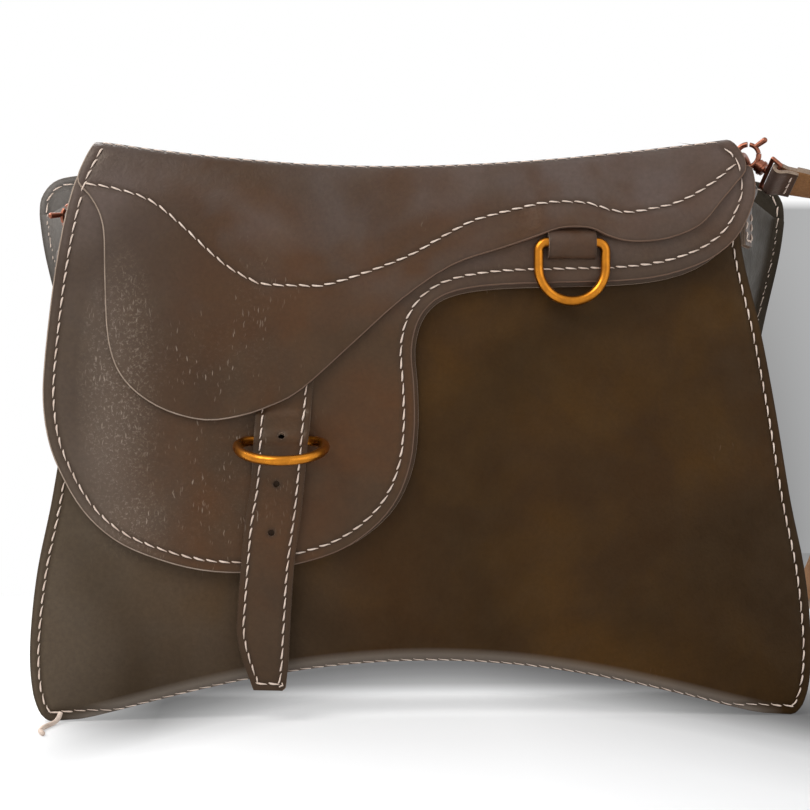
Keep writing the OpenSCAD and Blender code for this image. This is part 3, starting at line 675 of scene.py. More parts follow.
def sew(name, track, shape, depth=0.0, pitch=STITCH_PITCH, girth=STITCH_GIRTH):
    """A row of stitches along a track on a shaped sheet; depth > 0 puts it on the far side."""
    track = even(track, ROW_STEP)
    run = run_along(track)
    count = max(1, int(round(run[-1] / pitch)))
    step = run[-1] / count
    at, rise, radius, lean = [], [], [], []
    for k in range(count):
        start = (k + STITCH_START + rng.uniform(-0.02, 0.02)) * step
        slant, plump = rng.uniform(0.8, 1.2), rng.uniform(0.9, 1.08) * girth
        for t, h, r, aside in STITCH_RINGS:
            at.append(start + STITCH_SPAN * step * t)
            rise.append(h)
            radius.append(r * plump)
            lean.append(slant * aside)
    at = np.array(at)
    place = lambda s: np.stack([np.interp(s, run, track[:, k]) for k in (0, 1)], 1)
    way = unit(place(at + AHEAD) - place(at - AHEAD))
    flat = place(at) + to_left(way) * np.array(lean)[:, None]
    centre = shape(flat)
    across = shape(flat + (PROBE, 0)) - shape(flat - (PROBE, 0))
    upward = shape(flat + (0, PROBE)) - shape(flat - (0, PROBE))
    normal = unit(np.cross(across, upward))
    if depth:
        centre, normal = centre - normal * depth, -normal
    along = unit(shape(flat + way * PROBE) - shape(flat - way * PROBE))
    centre = centre + normal * np.array(rise)[:, None] * girth
    points = rings_round(centre, radius, np.cross(along, normal), normal, STITCH_SIDES)
    rings, faces = len(STITCH_RINGS), []
    for k in range(count):
        faces += tube_faces(k * rings * STITCH_SIDES, rings, STITCH_SIDES)
    piece = round_piece(name, points.reshape(-1, 3), faces, [linen_thread])
    return piece


print("one stitch has", len(STITCH_RINGS) * STITCH_SIDES, "points")

# %% [markdown]
# ## The skirt, the layer that shows most
# The uppermost leather starts on top of the bag, rolls over the front edge and hangs down to a
# long raw wave. It is cut as one sheet and then rolled: a table of the roll's slope, added up along
# the sheet, turns each flat point into its place over the edge. The frame's fold is a hinge there,
# but the leather is simply baked in place.

# %% The roll over the top edge
RUN_IN, BEND, TAIL, FIRST_LEAN, ROLL_STEP, RIM_SEAM = 36.0, 11.0, 14.0, 0.26, 0.25, 6.4
roll_u = np.arange(0, RUN_IN + BEND + TAIL + 20, ROLL_STEP)
bent_share = smooth(roll_u, RUN_IN, RUN_IN + BEND)
roll_angle = np.where(roll_u < RUN_IN, FIRST_LEAN * (roll_u / RUN_IN) ** 1.4,
                      FIRST_LEAN + (math.pi / 2 - FIRST_LEAN) * bent_share)
roll_back = np.concatenate([[0], np.cumsum(np.sin(roll_angle))[:-1] * ROLL_STEP])
roll_up = np.concatenate([[0], np.cumsum(np.cos(roll_angle))[:-1] * ROLL_STEP])
ROLL_RISE = float(np.interp(RUN_IN + BEND, roll_u, roll_up))


# How much the top rises at its right corner, and how far the leather's waves reach forward
RIGHT_RISE, RIPPLE = 3.5, 0.75


def roll_start(x):
    return top_z(x) - ROLL_RISE


def right_rise(x, z):
    """The bag's top stands a little higher towards its right corner."""
    return RIGHT_RISE * smooth(x, -50, 110) * smooth(z - top_z(x), -20, -1)


def unrolled(points):
    """The flat height of points that are known by their height on the bag."""
    points = np.array(points, float)
    above = points[:, 1] - roll_start(points[:, 0])
    bent = slice(int((RUN_IN + BEND) / ROLL_STEP))
    flat = np.interp(above, roll_up[bent], roll_u[bent])
    points[:, 1] = np.where(above > 0, roll_start(points[:, 0]) + flat, points[:, 1])
    return points


def ripple(x, z):
    """Leather is never dead flat: a few tenths of a millimetre of slow waves, forwards only."""
    wave = 0.5 + 0.25 * np.sin(x / 19 + z / 41) + 0.25 * np.sin(z / 23 - x / 57 + 1.3)
    return -RIPPLE * wave


STRAP_LEFT = [(-0.2115, 0.580), (-0.2135, 0.545), (-0.220, 0.413), (-0.2285, 0.337),
              (-0.236, 0.208), (-0.2375, 0.156), (-0.231, 0.111), (-0.217, 0.057)]
STRAP_RIGHT = [(-0.178, 0.0555), (-0.174, 0.094), (-0.1715, 0.156), (-0.1665, 0.266),
               (-0.1575, 0.359), (-0.152, 0.436), (-0.147, 0.5105), (-0.142, 0.590)]
LAYER_T, STRAP_TUCK, TAB_TUCK = 1.5, 0.6, 1.7


def skirt_lift(x, z):
    """The skirt rides up over the tucked ends of the closing strap and the ring's tab."""
    strap = between(x, -80, -69, -43, -32) * between(z, 104, 112, 133, 152)
    tab = between(x, 36, 46, 67, 77) * between(z, 179, 184, 193, 206)
    return -2 * LAYER_T * STRAP_TUCK * strap - TAB_TUCK * tab


def front_layer(y, lifted=False):
    """Shape of a layer of the flap whose grain side lies at that y below the roll."""
    def shape(points):
        x, s = points[:, 0], points[:, 1]
        u = s - roll_start(x)
        z = np.where(u > 0, roll_start(x) + np.interp(u, roll_u, roll_up), s)
        back = np.where(u > 0, np.interp(u, roll_u, roll_back), 0)
        calm = 1 - smooth(u, RUN_IN - 6, RUN_IN + 4)
        out = ripple(x, s) * calm + (skirt_lift(x, s) if lifted else 0)
        return np.stack([x, y + back + out, z + right_rise(x, z)], 1)
    return shape


def tail_row(x1, x2, back_from_end, count=60):
    x = np.linspace(x1, x2, count)
    return np.stack([x, roll_start(x) + RUN_IN + BEND + TAIL - back_from_end], 1)


SEAT_SEAM = [(-131.2, 207.4), (-122.5, 206.2), (-113.1, 203.8), (-107.2, 201.5), (-101.8, 198.1),
             (-92.8, 190.3), (-85.0, 182.9), (-76.8, 175.9), (-67.1, 170.4), (-61.6, 168.9),
             (-48.4, 168.5), (-36.7, 169.3), (-9.4, 179.0), (6.2, 187.6), (17.9, 193.8),
             (30.0, 197.3), (38.2, 199.3), (46.4, 200.8), (54.6, 201.2), (62.8, 200.8),
             (69.4, 198.9), (75.3, 197.7), (81.1, 197.7), (89.3, 199.3), (95.9, 200.8),
             (103.7, 204.0), (110.8, 207.9), (117.5, 212.2), (121.6, 215.2)]
seat_seam = unrolled(curve(SEAT_SEAM, 4))
skirt_edge = unrolled(curve(share_points(SKIRT), 3))
skirt_loop = np.vstack([skirt_edge, tail_row(117.5, 115.5, 4, 3), tail_row(112.5, -120, 0),
                        tail_row(-123.5, -126, 5, 3)])
flap_edge = curve(share_points(FLAP), 3)
fine_seam = even(inset(flap_edge, 4.2 + 1.3 * smooth(flap_edge[:, 0], -20, 40)), 0.5)
on_left, on_right = fine_seam[:, 0] < -100, fine_seam[:, 0] > 100
left_part = fine_seam[on_left & (fine_seam[:, 1] > 204.2) & (fine_seam[:, 1] < 223.0)]
right_part = fine_seam[on_right & (fine_seam[:, 1] > 212.4) & (fine_seam[:, 1] < 223.0)]
rim_track = tail_row(-125.5, 115.5, BEND + TAIL - RIM_SEAM, 90)
skirt_tracks = [seat_seam, unrolled(left_part), unrolled(right_part), rim_track,
                tail_row(-118, 111, 4.5)]
skirt_shape = front_layer(skirt_y, lifted=True)
skirt = cut_leather("seat_skirt_leather", skirt_loop, skirt_shape, FLAP_T, RAW_GRAIN, skirt_tracks,
                    raw=True)
rows = [sew(f"seat_stitches_{k}", track, skirt_shape,
            girth=LOW_GIRTH if track is rim_track else STITCH_GIRTH)
        for k, track in enumerate(skirt_tracks)]
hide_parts("seat_skirt")
for piece in [skirt] + rows:
    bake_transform(piece)
print("skirt:", len(skirt.data.polygons), "faces; roll rises", round(ROLL_RISE, 1), "mm")

# %% [markdown]
# ## Flap and lining
# Below the skirt lie the flap's outer leather and its lining, sewn together near the edge. Their
# two cut edges show side by side along the right half, where the lining stands a little proud.

# %% Flap and lining
def closed_under_roll(edge, low):
    """Close an outline below the roll, where the skirt hides it."""
    x = np.linspace(116, -124, 40)
    keep = edge[edge[:, 1] < roll_start(edge[:, 0]) + RUN_IN - low]
    return np.vstack([keep, np.stack([x, roll_start(x) + RUN_IN - low], 1)])


flap_low = unrolled(fine_seam[(fine_seam[:, 1] < 203.0) | (~on_left & (fine_seam[:, 1] < 211.2))])
flap_shape = front_layer(flap_y)
flap = cut_leather("flap_leather", closed_under_roll(unrolled(flap_edge), 3), flap_shape, FLAP_T,
                   RAW_GRAIN, [flap_low], raw=True)
lining_edge = inset(flap_edge, 0.5 - 2.0 * between(flap_edge[:, 0], -50, 0, 100, 122))
lining_shape = front_layer(flap_back_y + 0.02)
SNAP_HOLE_R = 7.1
snap_hole = np.array([-0.26 * WIDTH, 0.40 * HEIGHT]), SNAP_HOLE_R
lining = cut_leather("flap_lining_leather", closed_under_roll(unrolled(lining_edge), 4),
                     lining_shape, LINING_T, GRAIN, [flap_low], [snap_hole], cell=4.0)
for piece, node in ((flap, "flap"), (lining, "flap_lining")):
    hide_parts(node)
    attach(piece, "flap")
for name, shape, depth in (("flap_stitches", flap_shape, 0),
                           ("lining_stitches", lining_shape, LINING_T)):
    row = sew(name, flap_low, shape, depth)
    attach(row, "flap")
print("flap:", len(flap.data.polygons), "lining:", len(lining.data.polygons), "faces")

# %% [markdown]
# ## The body of the bag
# The spine joins the flap to the back panel and bends there. The front panel rolls a little way
# back at its edges, where the gusset's flange is sewn behind it, and swells between them where the
# flap does not press on it. The gusset is one long U-shaped strip that runs down one side, under
# the bag and up the other, sagging inwards between its two seams.

# %% Spine over the hinge
SPINE_HALF, SPINE_FRONT, SPINE_DROP, SPINE_T = 118.0, -11.0, 2.3, 2.2
SPINE_BEND, SPINE_TAIL, SPINE_PAST_BACK, SPINE_WAVE = 8.2, 10.5, 2.6, 0.35
spine_flat = back_y + SPINE_PAST_BACK - SPINE_BEND - SPINE_FRONT
spine_arc = SPINE_BEND * math.pi / 2


def spine_shape(points):
    x, s = points[:, 0], points[:, 1]
    turn = np.clip((s - spine_flat) / SPINE_BEND, 0, math.pi / 2)
    over = np.maximum(0, s - spine_flat - spine_arc)
    y = SPINE_FRONT + np.minimum(s, spine_flat) + SPINE_BEND * np.sin(turn)
    z = top_z(x) - SPINE_DROP - SPINE_BEND * (1 - np.cos(turn)) - over
    wave = SPINE_WAVE * np.sin(x / 16) * np.sin(s / 9) * (1 - smooth(turn, 0, 0.6))
    z = z - SPINE_WAVE * (turn < 0.01) + wave * 0.6
    return np.stack([x, y, z + right_rise(x, z + 2)], 1)


spine_end = spine_flat + spine_arc + SPINE_TAIL
spine_loop = np.array([(-SPINE_HALF, 0), (SPINE_HALF, 0), (SPINE_HALF, spine_end - 5),
                       (SPINE_HALF - 5, spine_end), (5 - SPINE_HALF, spine_end),
                       (-SPINE_HALF, spine_end - 5)])
spine_track = np.array([(-SPINE_HALF + 4.5, spine_end - 4.2), (SPINE_HALF - 4.5, spine_end - 4.2)])
spine = cut_leather("spine_leather", spine_loop, spine_shape, SPINE_T, GRAIN, [spine_track],
                    cell=3.4)
spine_row = sew("spine_stitches", spine_track, spine_shape)
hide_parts("flap_spine")
for piece in (spine, spine_row):
    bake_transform(piece)
print("spine leather", round(spine_end), "mm from front to back")

# %% Front panel
EDGE_ROLL, EDGE_ROLL_W, SWELL = 1.8, 9.0, 2.2
PANEL_TOP_DROP, PANEL_TOP_HALF, FLANGE_T = 5.4, 117, 2.0
# The foot's seam runs below this height and within this distance of the middle
FOOT_TOP, FOOT_HALF = 24, 137
to_front_edge = distance_to(front_path, closed=False)
to_flap_edge = distance_to(flap_edge, closed=False)


def edge_roll(from_edge):
    return EDGE_ROLL * np.clip(1 - from_edge / EDGE_ROLL_W, 0, 1) ** 2


def front_shape(points):
    from_edge = to_front_edge(points)
    outside = np.where(inside(points, flap_edge), 0, to_flap_edge(points))
    swell = SWELL * smooth(outside, 3, 30) * smooth(from_edge, 5, 26)
    return upright(points, front_y + edge_roll(from_edge) - swell)


def panel_outline(path):
    """A panel's edge, closed along the top of the bag."""
    x = np.linspace(-PANEL_TOP_HALF, PANEL_TOP_HALF, 50)
    return np.vstack([path, np.stack([x, top_z(x) - PANEL_TOP_DROP], 1)])


def hems(path, at_side, at_foot):
    """The seam inside a panel's edge, nearer the edge along the arch."""
    low = (path[:, 1] < 60) * (1 - smooth(np.abs(path[:, 0]), 118, 134))
    return inset(path, -(at_side + (at_foot - at_side) * low))


front_track = even(hems(front_path[1:-1], 3.7, 0.5), 1.0)
front_panel = cut_leather("front_panel_leather", panel_outline(front_path), front_shape, PANEL_T,
                          [panel_leather, inner_leather, cut_edge], [front_track], [snap_hole],
                          cell=3.6)
low = np.where((front_track[:, 1] < FOOT_TOP) & (np.abs(front_track[:, 0]) < FOOT_HALF))[0]
front_rows = [sew("front_stitches_right", front_track[: low[0] + 1], front_shape),
              sew("front_stitches_foot", front_track[low[0] : low[-1] + 1], front_shape,
                  girth=FOOT_GIRTH),
              sew("front_stitches_left", front_track[low[-1] :], front_shape),
              sew("front_flange_stitches", front_track, front_shape, PANEL_T + FLANGE_T)]
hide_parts("front_panel")

# %% Back panel with its two ears
back_face = back_y - PANEL_T
back_shape = lambda points: upright(points, back_face)
back_edge = np.vstack([ear_right[:-1], back_path, ear_left[1:]])
back_track = hems(back_edge[1:-1], 3.4, 2.4)
back_panel = cut_leather("back_panel_leather", panel_outline(back_edge), back_shape, PANEL_T,
                         [dark_leather, dark_leather, dark_edge], [back_track], cell=4.0)
back_rows = [sew("back_stitches", back_track, back_shape, -FLANGE_T + 0.02),
             sew("back_outer_stitches", back_track, back_shape, PANEL_T)]
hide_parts("back_panel")
for piece in [front_panel, back_panel] + front_rows + back_rows:
    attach(piece, "bag")
print("panels:", len(front_panel.data.polygons), len(back_panel.data.polygons), "faces")

# %% Gusset, one strip round three sides
GUSSET_SAG, WALL_IN, WALL_FROM_FLANGE = 3.0, 6.0, 2.4
# Each row of the sewn flange: how far inside the panel's edge, and how far it has turned inwards
FLANGE_ROWS = ((0.4, 0), (2.2, 0), (4.0, 0), (5.2, 0.7))


def gusset_rings():
    """Rows of points across the strip, seen on its outer side, along the whole U."""
    y1, y2 = front_y + PANEL_T + FLANGE_T, back_y - PANEL_T - FLANGE_T
    columns = [upright(inset(front_path, -a), y1 + edge_roll(a) + deep) for a, deep in FLANGE_ROWS]
    front, back = inset(front_path, -WALL_IN), inset(back_path, -WALL_IN)
    sag = GUSSET_SAG * (1 - smooth(front[:, 1], 150, 178))
    for t in np.linspace(0, 1, 9):
        wall = inset(front + (back - front) * t, -sag * math.sin(math.pi * t))
        y = y1 + WALL_FROM_FLANGE
        columns.append(upright(wall, y + (y2 - WALL_FROM_FLANGE - y) * t))
    columns += [upright(inset(back_path, -a), y2 - deep) for a, deep in FLANGE_ROWS[::-1]]
    return np.stack(columns, 1)


def grid_faces(rows, columns):
    return [[i * columns + j, (i + 1) * columns + j, (i + 1) * columns + j + 1, i * columns + j + 1]
            for i in range(rows - 1) for j in range(columns - 1)]


rings = gusset_rings()
count, across = rings.shape[:2]
faces = grid_faces(count, across)
side_wall = rings[3, 8] - rings[3, 7], rings[4, 7] - rings[3, 7]
if np.cross(side_wall[1], side_wall[0])[0] < 0:
    faces = [f[::-1] for f in faces]
gusset = new_piece("gusset_leather", rings.reshape(-1, 3), faces, DARK)
rim = np.minimum(np.arange(across), np.arange(across)[::-1]) * 2.0
keep_distances(gusset, np.tile(rim, count), np.full(count * across, NO_SEAM))
smoother = gusset.modifiers.new("smooth", "SUBSURF")
smoother.levels = smoother.render_levels = 1
give_thickness(gusset, FLANGE_T - 0.05, 0.4)
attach(gusset, "bag")
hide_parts("gusset_left", "gusset_right", "gusset_bottom")
print("gusset:", len(gusset.data.polygons), "faces")

# %% [markdown]
# ## Closing strap, chape and ring tabs
# The closing strap is two thin layers sewn together, tucked under the skirt, with a loop over the
# brass ring's bar. Small straps are bands: a path in side view, drawn out to the strap's width.

# %% Closing strap
CLOSURE_X, BAR_Y, CLOSURE_Z = np.array(joints["closure_ring_swing"]["pos_m"]) / MM
HUMP_HALF, HUMP_H, END_SETTLE = 13.0, 6.72, 1.6
HOLE_X, HOLE_TOP_Z, HOLE_PITCH, HOLE_R = -0.182 * WIDTH, 0.4933 * HEIGHT, 18.7, 1.3
STRAP_LEAN = 0.1052


def strap_front(points, stack):
    """How far forward a face of the strap lies that has that much leather behind it."""
    x, z = points[:, 0], points[:, 1]
    away = np.clip(np.abs(z - CLOSURE_Z) / HUMP_HALF, 0, 1)
    hump = HUMP_H * np.cos(away * math.pi / 2) ** 2
    thin = 1 - (1 - STRAP_TUCK) * smooth(z, 112, 122) if stack > LAYER_T else 1
    settle = END_SETTLE * (1 - smooth(z, 16, 50))
    return upright(points, flap_y + ripple(x, z) - hump - 0.05 - stack * thin + settle)


strap_loop = np.vstack([curve(share_points(STRAP_LEFT), 6), curve(share_points(STRAP_RIGHT), 6)])
strap_track = inset(strap_loop, 2.6)[2:-1]
strap_holes = [(np.array([HOLE_X - down * STRAP_LEAN, HOLE_TOP_Z - down]), HOLE_R)
               for down in (0, HOLE_PITCH, 2 * HOLE_PITCH)]
outer_shape = lambda p: strap_front(p, 2 * LAYER_T)
under_shape = lambda p: strap_front(p, LAYER_T)
strap = cut_leather("closing_strap_leather", strap_loop, outer_shape, LAYER_T, GRAIN, [strap_track],
                    strap_holes, cell=2.4, edge_r=0.35)
low_part = strap_loop[strap_loop[:, 1] < 116]
under = cut_leather("closing_strap_back", low_part, under_shape, LAYER_T,
                    [inner_leather, inner_leather, cut_edge], [], strap_holes, cell=2.6,
                    edge_r=0.35)
low_track = strap_track[strap_track[:, 1] < 112]
strap_rows = [sew("strap_stitches", strap_track, outer_shape),
              sew("strap_back_stitches", low_track, under_shape, LAYER_T)]
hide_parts("closing_strap")
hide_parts("closing_strap_lining")
for piece in [strap, under] + strap_rows:
    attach(piece, "flap")
print("closing strap:", len(strap.data.polygons), "faces")


# %% Strips, and bands that go round a bar
def strip(name, path, across, width, thick, materials, edge_r, turned, from_end=NO_SEAM):
    """A strap of that width along a path in mm; across has the direction of its width."""
    shares = np.linspace(-0.5, 0.5, 9)
    points = path[:, None] + shares[None, :, None] * width * np.reshape(across, (-1, 1, 3))
    faces = grid_faces(len(path), len(shares))
    if turned:
        faces = [f[::-1] for f in faces]
    piece = new_piece(name, points.reshape(-1, 3), faces, materials)
    from_end = np.broadcast_to(from_end, len(path))[:, None]
    from_side = (0.5 - np.abs(shares))[None, :] * width
    keep_distances(piece, np.minimum(from_end, from_side).ravel(),
                   np.full(points.size // 3, NO_SEAM))
    return give_thickness(piece, thick, edge_r, centred=True)


def band(name, path, across, width, thick, materials, body, edge_r=0.25):
    """A strap that is looped along a path, with its grain side outwards."""
    path, across = even(path, BAND_STEP), np.array(across, float)
    mid = len(path) // 2
    outward = path[mid] - (path[0] + path[-1]) / 2
    turned = np.cross(path[mid + 1] - path[mid - 1], across) @ outward < 0
    run = np.arange(len(path)) * BAND_STEP
    piece = strip(name, path, across, width, thick, materials, edge_r, turned,
                  np.minimum(run, run[::-1]))
    if body:
        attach(piece, body)
    return piece


def arc(radius, start, end, steps=14):
    a = np.radians(np.linspace(start, end, steps))
    return [(radius * math.cos(t), radius * math.sin(t)) for t in a]


WRAP_R, CHAPE_TAIL, CHAPE_W, BAND_T, BAND_STEP = 2.48, 7.0, 16.0, 1.0, 0.8
chape_side = ([(WRAP_R, -CHAPE_TAIL), (WRAP_R, -3.4)] + arc(WRAP_R, -42, -318)
              + [(WRAP_R, 3.4), (WRAP_R, CHAPE_TAIL)])
chape_path = [(CLOSURE_X, BAR_Y + y, CLOSURE_Z + z) for y, z in chape_side]
chape = band("closure_chape_leather", chape_path, (1, 0, 0), CHAPE_W, BAND_T, DARK, "flap")
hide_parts("closure_chape")
TAB_X, TAB_Z, TAB_W = *(np.array(joints["front_ring_swing"]["pos_m"])[[0, 2]] / MM), 18.5
TAB_SIDE = [(-22.1, 12), (-22.15, 7.0), (-22.9, 5.0), (-24.8, 3.4), (-26.4, 1.5), (-26.85, -0.5),
            (-26.2, -2.8), (-25.0, -4.8), (-23.6, -5.9), (-22.4, -5.4), (-21.9, -3.8), (-21.85, 0),
            (-21.8, 5)]
tab_side = [(TAB_X, y, TAB_Z + z) for y, z in curve(TAB_SIDE, 6)]
ring_tab = band("front_ring_tab_leather", tab_side, (1, 0, 0), TAB_W, BAND_T, GRAIN, "flap")
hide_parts("front_ring_tab")

# %% Tabs of the two side rings
SIDE_WRAP_R, SIDE_TAB_W = 1.68, 12.0
TAB_WRAP = ([(-SIDE_WRAP_R, -24), (-SIDE_WRAP_R, 0)] + arc(SIDE_WRAP_R, 170, 0)
            + [(1.45, -1.6), (0.6, -3.4), (-0.3, -5.4), (-0.68, -7.4), (-0.68, -23.4)])
clips = {}
for side, sign in (("left", -1), ("right", 1)):
    ring = joints[f"side_ring_{side}_swing"]
    bar, along = np.array(ring["pos_m"]) / MM, np.array(ring["axis"])
    outward = np.array([along[1] * sign, -along[0] * sign, 0.0])
    clips[side] = bar, along, outward
    path = [bar + outward * x + np.array([0, 0, z]) for x, z in TAB_WRAP]
    tab = band(f"side_tab_{side}_leather", path, along, SIDE_TAB_W, BAND_T, GRAIN, "bag")
    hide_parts(f"side_tab_{side}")
    face = lambda p: bar + (p[:, :1] * along * sign + p[:, 1:] * (0, 0, 1.0)) - outward * 0.18
    box = np.array([(-4, -9.5), (-4, -21.5), (4, -21.5), (4, -9.5)])
    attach(sew(f"side_tab_{side}_stitches", box, face, pitch=4.0, girth=0.9), "bag")
print("bands made; side ring bars at", [[round(float(v), 1) for v in clips[s][0]] for s in clips])

# %% [markdown]
# ## Shoulder strap and thread tail
# The strap leaves the right clip flesh side out, runs down behind the bag, lies in one loop on the
# floor and comes up to the left clip. Its route and the direction of its width are the frame's
# own points. The loose end of a linen thread hangs at the lower left.

# %% Folded ends of the shoulder strap
EYE_BAR, STRAP_T, PARED_T, END_W, FOLD_R = -14.64, 2.6, 1.82, 15.1, 1.89
# How far each eye has swivelled in its clip, and how far the strap's end has swung about its bar
EYE_TURN = {"left": (90, 0), "right": (-50, 35)}
END_PATH = ([(-0.91, -8), (-0.91, -3.4)] + arc(FOLD_R, 205, -25, 20)
            + [(0.91, -3.4), (0.91, -8)])
strap_ends = []
for side, sign in (("left", -1), ("right", 1)):
    clip, along = joints[f"hook_{side}_turn"], clips[side][1]
    along = along if along[1] > 0 else -along
    axis = np.array(clip["axis"])
    facing = np.cross(along, axis) * sign
    swivel, swing = np.radians(EYE_TURN[side])
    wide = facing * math.cos(swivel) + along * math.sin(swivel)
    thin = along * math.cos(swivel) - facing * math.sin(swivel)
    deep = thin * math.cos(swing) + axis * math.sin(swing)
    rise = axis * math.cos(swing) - thin * math.sin(swing)
    eye = np.array(clip["pos_m"]) / MM + axis * EYE_BAR
    path = [eye + deep * a + rise * b for a, b in END_PATH]
    end = band(f"strap_end_{side}_leather", path, wide, END_W, PARED_T,
               [grain_leather, flesh_leather, cut_edge], None, edge_r=0.35)
    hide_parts(f"strap_end_{side}")
    strap_ends.append(end)
    hand = 1.0 if np.dot(np.cross(wide, rise), deep) > 0 else -1.0
    for k, way in enumerate((1, -1)):
        face = lambda p: eye + p[:, :1] * wide * hand * way + p[:, 1:] * rise + deep * PARED_T * way
        cross = np.array([(-5.8, -5.6), (5.8, -5.6)])
        strap_ends.append(sew(f"strap_end_{side}_stitches_{k}", cross, face, pitch=3.9))
for piece in strap_ends:
    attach(piece, "bag")

# %% Shoulder strap
STRAP_ROUTE = [
    (148.2, -4.8, 212.3), (154.1, -5.2, 211), (160.5, -4.5, 208.2), (167, -1.5, 202.3),
    (172.5, 5, 192.5), (176.3, 15, 177.5), (179.2, 28, 157), (182, 44, 130), (185, 62, 100),
    (187.5, 84, 67), (187.5, 105, 43), (183, 126, 25.5), (168, 150, 13),
    (142, 170, 8.6), (105, 182, 8.2), (60, 189, 8.2), (0, 192, 8.2), (-60, 188, 8.2),
    (-105, 176, 8.3), (-134, 156, 10.2), (-149, 130, 19.5), (-154, 100, 38), (-152, 72, 62),
    (-149, 50, 89), (-147, 30, 114), (-145.5, 13, 136), (-143.6, -0.5, 151),
    (-142, -4.2, 164), (-140.6, -4.5, 174.8)]
STRAP_FACE = [
    (-0.04, 0.88, -0.48), (-0.08, 0.9, -0.42), (-0.18, 0.95, -0.2), (-0.25, 0.96, 0.1),
    (-0.2, 0.92, 0.35), (-0.1, 0.87, 0.48), (0, 0.85, 0.52), (0, 0.83, 0.56), (0, 0.8, 0.6),
    (0, 0.72, 0.68), (0, 0.6, 0.8), (0, 0.42, 0.9), (0, 0.2, 1),
    (0, 0, 1), (0, 0, 1), (0, 0, 1), (0, 0, 1), (0, 0, 1),
    (0, 0, 1), (0, 0.15, 1), (0, 0.35, 0.9), (0, 0.55, 0.8), (0, 0.7, 0.7),
    (0, 0.8, 0.6), (-0.1, 0.85, 0.5), (-0.2, 0.9, 0.35), (-0.3, 0.9, 0.2),
    (-0.4, 0.9, 0.08), (-0.44, 0.9, 0)]
STRAP_W = 16.0
route, hold = curve(STRAP_ROUTE, 8), curve(STRAP_FACE, 8)
ahead = unit(np.gradient(route, axis=0))
hold = unit(hold - ahead * (hold * ahead).sum(1)[:, None])
shoulder = strip("shoulder_strap_leather", route, hold, STRAP_W, STRAP_T,
                 [flesh_leather, dark_leather, cut_edge], 0.6, np.cross(ahead[0], hold[0])[1] > 0)
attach(shoulder, "bag")
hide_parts("shoulder_strap")

# %% Thread tail
THREAD_ROUTE = [(-141, -17.9, 4), (-141.4, -19.3, 2.4), (-142.4, -22.8, 1.2), (-144, -29, 1.1),
                (-145.4, -35, 1.1), (-145.2, -41, 1.1), (-143.6, -46, 1.1)]
THREAD_R, THREAD_SIDES = 0.95, 10
thread_path = curve(THREAD_ROUTE, 6)
ahead = unit(np.gradient(thread_path, axis=0))
side = unit(np.cross(ahead, (0, 0, 1.0)))
tube = rings_round(thread_path, THREAD_R, side, np.cross(side, ahead), THREAD_SIDES)
thread = round_piece("thread_tail_linen", tube.reshape(-1, 3),
                     tube_faces(0, len(thread_path), THREAD_SIDES), [linen_thread])
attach(thread, "bag")
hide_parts("thread_tail")

# %% [markdown]
# ## Camera, light and floor
# The camera stands in front of the bag's left half and looks a little to the right, as in the
# photograph. A broad light from the upper left gives the soft sheen and the shadow to the lower
# right. Floor and backdrop are white paper that glows a little, with painted shadow in grey under
# and in front of the bag and a soft grey area of painted shadow at the right.

# %% Camera
CAMERA_X, CAMERA_Z, CAMERA_AWAY, CAMERA_TURN, LENS = -44.6, 122.5, 699.0, 3.0, 79.8
camera_data = bpy.data.cameras.new("camera")
camera_data.lens, camera_data.sensor_width = LENS, 36.0
camera_data.clip_start, camera_data.clip_end = 0.01, 20.0
camera = bpy.data.objects.new("camera", camera_data)
bpy.context.collection.objects.link(camera)
camera.location = Vector((CAMERA_X, front_y - CAMERA_AWAY, CAMERA_Z)) * MM
camera.rotation_euler = (math.radians(90), 0, -math.radians(CAMERA_TURN))
bpy.context.scene.camera = camera


# %% Lights
BAG_MIDDLE = (0, 0, 0.11)


def area_light(name, place, size, power, colour):
    """A soft light of that size in metres that is aimed at the middle of the bag."""
    data = bpy.data.lights.new(name, "AREA")
    data.shape, data.size, data.size_y = "RECTANGLE", size[0], size[1]
    data.energy, data.color = power, colour
    lamp = bpy.data.objects.new(name, data)
    bpy.context.collection.objects.link(lamp)
    lamp.location = place
    way = Vector(BAG_MIDDLE) - Vector(place)
    lamp.rotation_euler = way.to_track_quat("-Z", "Y").to_euler()
    lamp.visible_camera = False


area_light("key_light", (-0.75, -0.75, 1.1), (0.9, 0.7), 11.5, (1.0, 0.985, 0.96))
area_light("fill_light", (0.9, -1.0, 0.5), (1.0, 1.0), 2.6, (1.0, 1.0, 1.0))
area_light("top_light", (-0.5, 0.45, 0.75), (0.8, 0.6), 7.0, (1.0, 1.0, 1.0))


# %% World
def looked_at(tree):
    """1 where the camera, a mirror or glass looks, and 0 for light that is scattered."""
    ray = add(tree, "LightPath").outputs
    seen = maths(tree, "MAXIMUM", ray["Is Camera Ray"], ray["Is Glossy Ray"])
    return maths(tree, "MAXIMUM", seen, ray["Is Transmission Ray"])


scene = bpy.context.scene
world = bpy.data.worlds.new("pale_world")
scene.world = world
world.use_nodes = True
tree = world.node_tree
tree.nodes.clear()
lit = add(tree, "Background", {"Color": (0.93, 0.95, 1.0, 1), "Strength": 0.5})
seen = add(tree, "Background", {"Color": (1, 1, 1, 1), "Strength": 1.0})
add(tree, "OutputWorld", {"Surface": mixed(tree, looked_at(tree), lit, seen).outputs[0]})

# %% Floor
FLOOR_GLOW, FLOOR_SEEN, FADE_FROM, FADE_TO, WALL_Y = 0.5, 0.55, 0.2, 0.45, 0.75
# The bag's arched foot: its middle, half its width and how far the painted shadow below it bulges
# forwards
ARCH_X, ARCH_HALF, ARCH_REACH = 0.012, 0.138, 0.15
